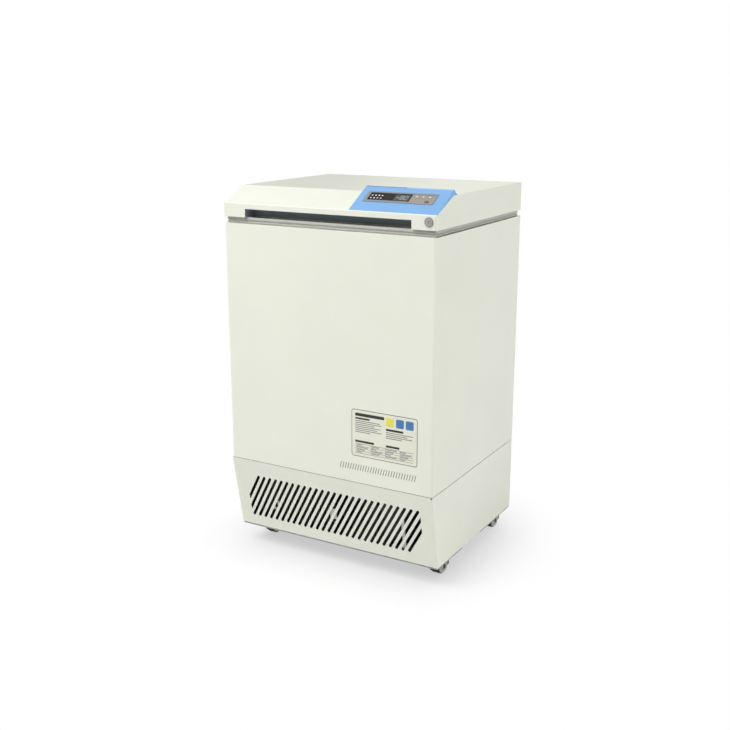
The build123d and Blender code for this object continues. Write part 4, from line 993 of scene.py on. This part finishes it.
@dataclass
class Casters:
    """Swivelling forks with their axles, and the bolts of their plates. Sizes in millimetres.

    The leg's outline is given along the travel from the axle, and up from the floor.
    """

    side: float = 292.0
    rows: tuple[float, float] = (-177.0, 205.0)
    plate_low: float = 57.0
    reach: float = 23.0
    trail: float = 24.0
    axle: float = 23.0
    leg: tuple[float, float] = (14.8, 17.3)
    crown: tuple[float, float] = (48.1, 50.6)
    outline: list[tuple[float, float]] = field(default_factory=lambda: [
        (-9.0, 5.0), (9.0, 5.0), (20.0, 10.5), (24.5, 22.0), (24.5, 50.6), (-38.0, 50.6), (-29.0, 26.0), (-21.0, 10.5)])

    def build(self, palette: Palette) -> None:
        """Make the four forks and every bolt.

        Args:
            palette: All materials.
        """
        self.bolts(palette)
        for end, y in zip(("front", "rear"), self.rows):
            for way, x in (("left", -self.side), ("right", self.side)):
                self.fork(f"{end}_{way}", x, y, palette)

    def fork(self, corner: str, x: float, y: float, palette: Palette) -> None:
        """Pressed fork with broad legs and a brake tab, its axle with two nuts, and dark patches on the tab painted as
        the shade of openings.

        Args:
            corner: Corner of the freezer that it stands under.
            x: Swivel axis across.
            y: Swivel axis front to back.
            palette: All materials.
        """
        hub = y + self.trail
        inner, outer = self.leg
        low, high = self.crown
        beside = Place((x * MM, 0.0, 0.0), (0.0, 1.0, 0.0), (0.0, 0.0, 1.0))
        above = Place((0.0, 0.0, 0.0), (1.0, 0.0, 0.0), (0.0, 1.0, 0.0))
        legs = smoothed(np.array(self.outline)) + (hub, 0.0)
        tab = np.array([(24.0, 15.0), (34.0, 12.0), (40.0, 18.0), (40.0, 38.0), (24.0, 47.0)]) + (hub, 0.0)
        boss = [(0, outer - 0.1), (13, outer - 0.1), (13, outer + 0.4), (12, outer + 0.9), (0, outer + 0.9)]
        mirrored = [(radius, -height) for radius, height in boss[::-1]]
        shapes = [plate(legs, beside, inner, outer), plate(legs, beside, -outer, -inner),
                  plate(tab, beside, -15.0, 15.0), lathe(boss, beside, (hub, self.axle)),
                  lathe(mirrored, beside, (hub, self.axle)),
                  plate(bar((x - outer, x + outer), (y - 14.0, hub + 24.0), 2.0), above, low, high - 0.05),
                  lathe([(0, low - 0.2), (20, low - 0.2), (21, low + 0.5), (21, high - 0.5), (20.2, high), (0, high)],
                        above, (x, y), 28),
                  lathe([(0, high - 0.5), (5, high - 0.5), (5, self.plate_low - 0.4), (0, self.plate_low - 0.4)],
                        above, (x, y))]
        fork = add_piece("fork_" + corner, shapes, palette.materials["fork_zinc"], "swivel_" + corner)
        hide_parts("caster_fork_" + corner)
        turn = np.linspace(0, 2 * np.pi, 6, endpoint=False)
        nut = np.column_stack([7.5 * np.cos(turn) + hub, 7.5 * np.sin(turn) + self.axle])
        parts = [plate(nut, beside, outer + 0.8, outer + 2.4), plate(nut, beside, -outer - 2.4, -outer - 0.8),
                 lathe([(0, -outer), (4, -outer), (4, outer), (0, outer)], beside, (hub, self.axle))]
        # Dark patches on both faces of the brake tab: painted shade standing in for openings.
        parts += [plate(bar((hub + 28.0, hub + 38.0), z, 1.5, 3), beside, start, start + 0.6)
                  for z in ((17.0, 23.0), (29.0, 34.0)) for start in (-15.4, 14.8)]
        add_piece("axle_and_slot_shade_" + corner, parts, palette.materials["nut_dark_and_slot_shade"], "swivel_" + corner)

    def bolts(self, palette: Palette) -> None:
        """Four bolts under each plate."""
        place = Place((0.0, 0.0, self.plate_low * MM), (1.0, 0.0, 0.0), (0.0, -1.0, 0.0))
        spots = [(side * self.side + i * self.reach, -y + j * self.reach) for side in (-1, 1) for y in self.rows
                 for i in (-1, 1) for j in (-1, 1)]
        shapes = [screw(place, spot, 3.6, 2.2) for spot in spots]
        add_piece("caster_bolts", shapes, palette.materials["screw_steel"], "cabinet")


# Studio


@dataclass(frozen=True)
class Lamp:
    """Soft lamp: its direction from the freezer, distance, size in metres, level and whether it is mirrored."""

    name: str
    direction: tuple[float, float, float]
    distance: float
    size: tuple[float, float]
    level: float
    mirrored: bool = True


@dataclass
class Studio:
    """Camera, lamps, floor and background."""

    eye: tuple[float, float, float] = (1.4721, -2.6365, 1.3613)
    yaw: float = 29.91
    pitch: float = 14.92
    roll: float = 0.04
    lens: float = 50.21
    aim: tuple[float, float, float] = (0.0, 0.0, 0.6)
    ambient: float = 0.12
    fade: tuple[float, float] = (-0.66, -0.46)
    dim: float = 0.0
    contact: float = 0.22
    shade_middle: tuple[float, float, float] = (-0.09, -0.06, 0.0)
    floor_reach: float = 30.0
    lamps: tuple[Lamp, ...] = (
        Lamp("key", (-0.28, -0.55, 0.79), 7.0, (4.4, 4.4), 1.06),
        Lamp("side", (0.99, 0.0, 0.12), 5.0, (1.8, 3.0), 0.44),
        Lamp("back", (-0.30, 0.95, 0.05), 5.0, (1.8, 3.0), 0.42, False),
    )

    def build(self) -> None:
        """Make the whole studio."""
        self.camera()
        for lamp in self.lamps:
            self.lamp(lamp)
        self.world()
        self.floor()
        bpy.context.scene.view_settings.view_transform = "Standard"

    def camera(self) -> None:
        """Camera at the photograph's place."""
        data = bpy.data.cameras.new("camera")
        data.lens = self.lens
        data.sensor_width = 36.0
        camera = bpy.data.objects.new("camera", data)
        camera.location = self.eye
        camera.rotation_euler = (math.radians(90 - self.pitch), math.radians(self.roll), math.radians(self.yaw))
        bpy.context.scene.collection.objects.link(camera)
        bpy.context.scene.camera = camera

    def lamp(self, lamp: Lamp) -> None:
        """Area lamp that gives its level on a face turned to it.

        The power is level * pi^2 * distance^2, for an even glow over the lamp's face.

        Args:
            lamp: Where the lamp stands and how bright it is.
        """
        data = bpy.data.lights.new(lamp.name, "AREA")
        data.shape = "RECTANGLE"
        data.size, data.size_y = lamp.size
        data.energy = lamp.level * math.pi ** 2 * lamp.distance ** 2
        way = np.array(lamp.direction) / np.linalg.norm(lamp.direction)
        spot = bpy.data.objects.new(lamp.name, data)
        spot.location = np.array(self.aim) + way * lamp.distance
        spot.visible_glossy = spot.visible_camera = lamp.mirrored
        turn = math.atan2(way[1], way[0])
        spot.rotation_euler = (0.0, math.acos(way[2]), turn)
        bpy.context.scene.collection.objects.link(spot)

    def seen(self, graph: Graph) -> bpy.types.NodeSocket:
        """One for rays from the camera, a mirror or glass, and zero for the rest."""
        path = graph.add("LightPath").outputs
        mirror = graph.math("MAXIMUM", path["Is Glossy Ray"], path["Is Transmission Ray"])
        return graph.math("MAXIMUM", path["Is Camera Ray"], mirror)

    def world(self) -> None:
        """White surroundings that light the freezer only faintly.

        In a mirror they are darker low down behind the freezer's left, where the ratio of
        the direction's x to its y is least, so that the lid's top fades towards that end.
        """
        world = bpy.data.worlds.new("surroundings")
        world.use_nodes = True
        graph = Graph(world.node_tree)
        way = graph.add("SeparateXYZ", Vector=graph.add("TexCoord").outputs["Generated"]).outputs
        across = graph.math("DIVIDE", way["X"], way["Y"])
        level = graph.math("MAXIMUM", graph.ramp(across, *self.fade, self.dim, 1.0), graph.ramp(way["Z"], 0.25, 0.5))
        path = graph.add("LightPath").outputs
        mirror = graph.math("MULTIPLY", path["Is Glossy Ray"], level)
        straight = graph.math("MAXIMUM", path["Is Camera Ray"], path["Is Transmission Ray"])
        strength = graph.math("MAXIMUM", graph.math("MAXIMUM", straight, mirror), self.ambient)
        background = graph.add("Background", Color=(1.0, 1.0, 1.0, 1.0), Strength=strength)
        graph.add("OutputWorld", Surface=background.outputs[0])
        bpy.context.scene.world = world

    def floor(self) -> None:
        """Pale floor that glows for the camera, with a painted contact shadow from ambient occlusion where the freezer
        hides it, and turns to white further out.
        """
        reach = self.floor_reach
        mesh = bpy.data.meshes.new("floor")
        corners = [(-reach, -reach, 0.0), (reach, -reach, 0.0), (reach, reach, 0.0), (-reach, reach, 0.0)]
        mesh.from_pydata(corners, [], [(0, 1, 2, 3)])
        material = bpy.data.materials.new("floor")
        material.use_nodes = True
        graph = Graph(material.node_tree)
        position = graph.add("TexCoord").outputs["Object"]
        distance = graph.add("VectorMath", {"operation": "DISTANCE"})
        graph.join(distance.inputs[0], position)
        graph.join(distance.inputs[1], self.shade_middle)
        far = graph.ramp(distance.outputs["Value"], 0.4, 0.75)
        matte = graph.add("BsdfDiffuse", Color=(0.8, 0.8, 0.8, 1.0))
        soft = graph.add("BsdfDiffuse", Color=(0.2, 0.2, 0.2, 1.0))
        # Painted contact shadow: ambient occlusion dims the glow that the camera sees near the freezer.
        clear = graph.add("AmbientOcclusion", {"samples": 16}, Distance=self.contact).outputs["AO"]
        glow = graph.add("Emission", Color=(1.0, 1.0, 1.0, 1.0), Strength=graph.math("MULTIPLY_ADD", clear, 0.3, 0.5))
        near = graph.add("AddShader")
        graph.join(near.inputs[0], soft.outputs[0])
        graph.join(near.inputs[1], glow.outputs[0])
        white = graph.add("Emission", Color=(1.0, 1.0, 1.0, 1.0), Strength=1.0)
        shown = graph.add("MixShader", Fac=far)
        graph.join(shown.inputs[1], near.outputs[0])
        graph.join(shown.inputs[2], white.outputs[0])
        final = graph.add("MixShader", Fac=self.seen(graph))
        graph.join(final.inputs[1], matte.outputs[0])
        graph.join(final.inputs[2], shown.outputs[0])
        graph.add("OutputMaterial", Surface=final.outputs[0])
        mesh.materials.append(material)
        floor = bpy.data.objects.new("floor", mesh)
        bpy.context.scene.collection.objects.link(floor)


def main() -> None:
    """Build the studio, the finishes and every piece in order."""
    logging.basicConfig(level=logging.INFO, format="%(name)s %(message)s")
    Studio().build()
    palette = Palette(Effects())
    palette.dress_frame()
    for part in (Cabinet(), Lid(), Console(), Hinges(), Casters()):
        part.build(palette)
        log.info("%s is done", type(part).__name__)


if __name__ == "__main__":
    main()
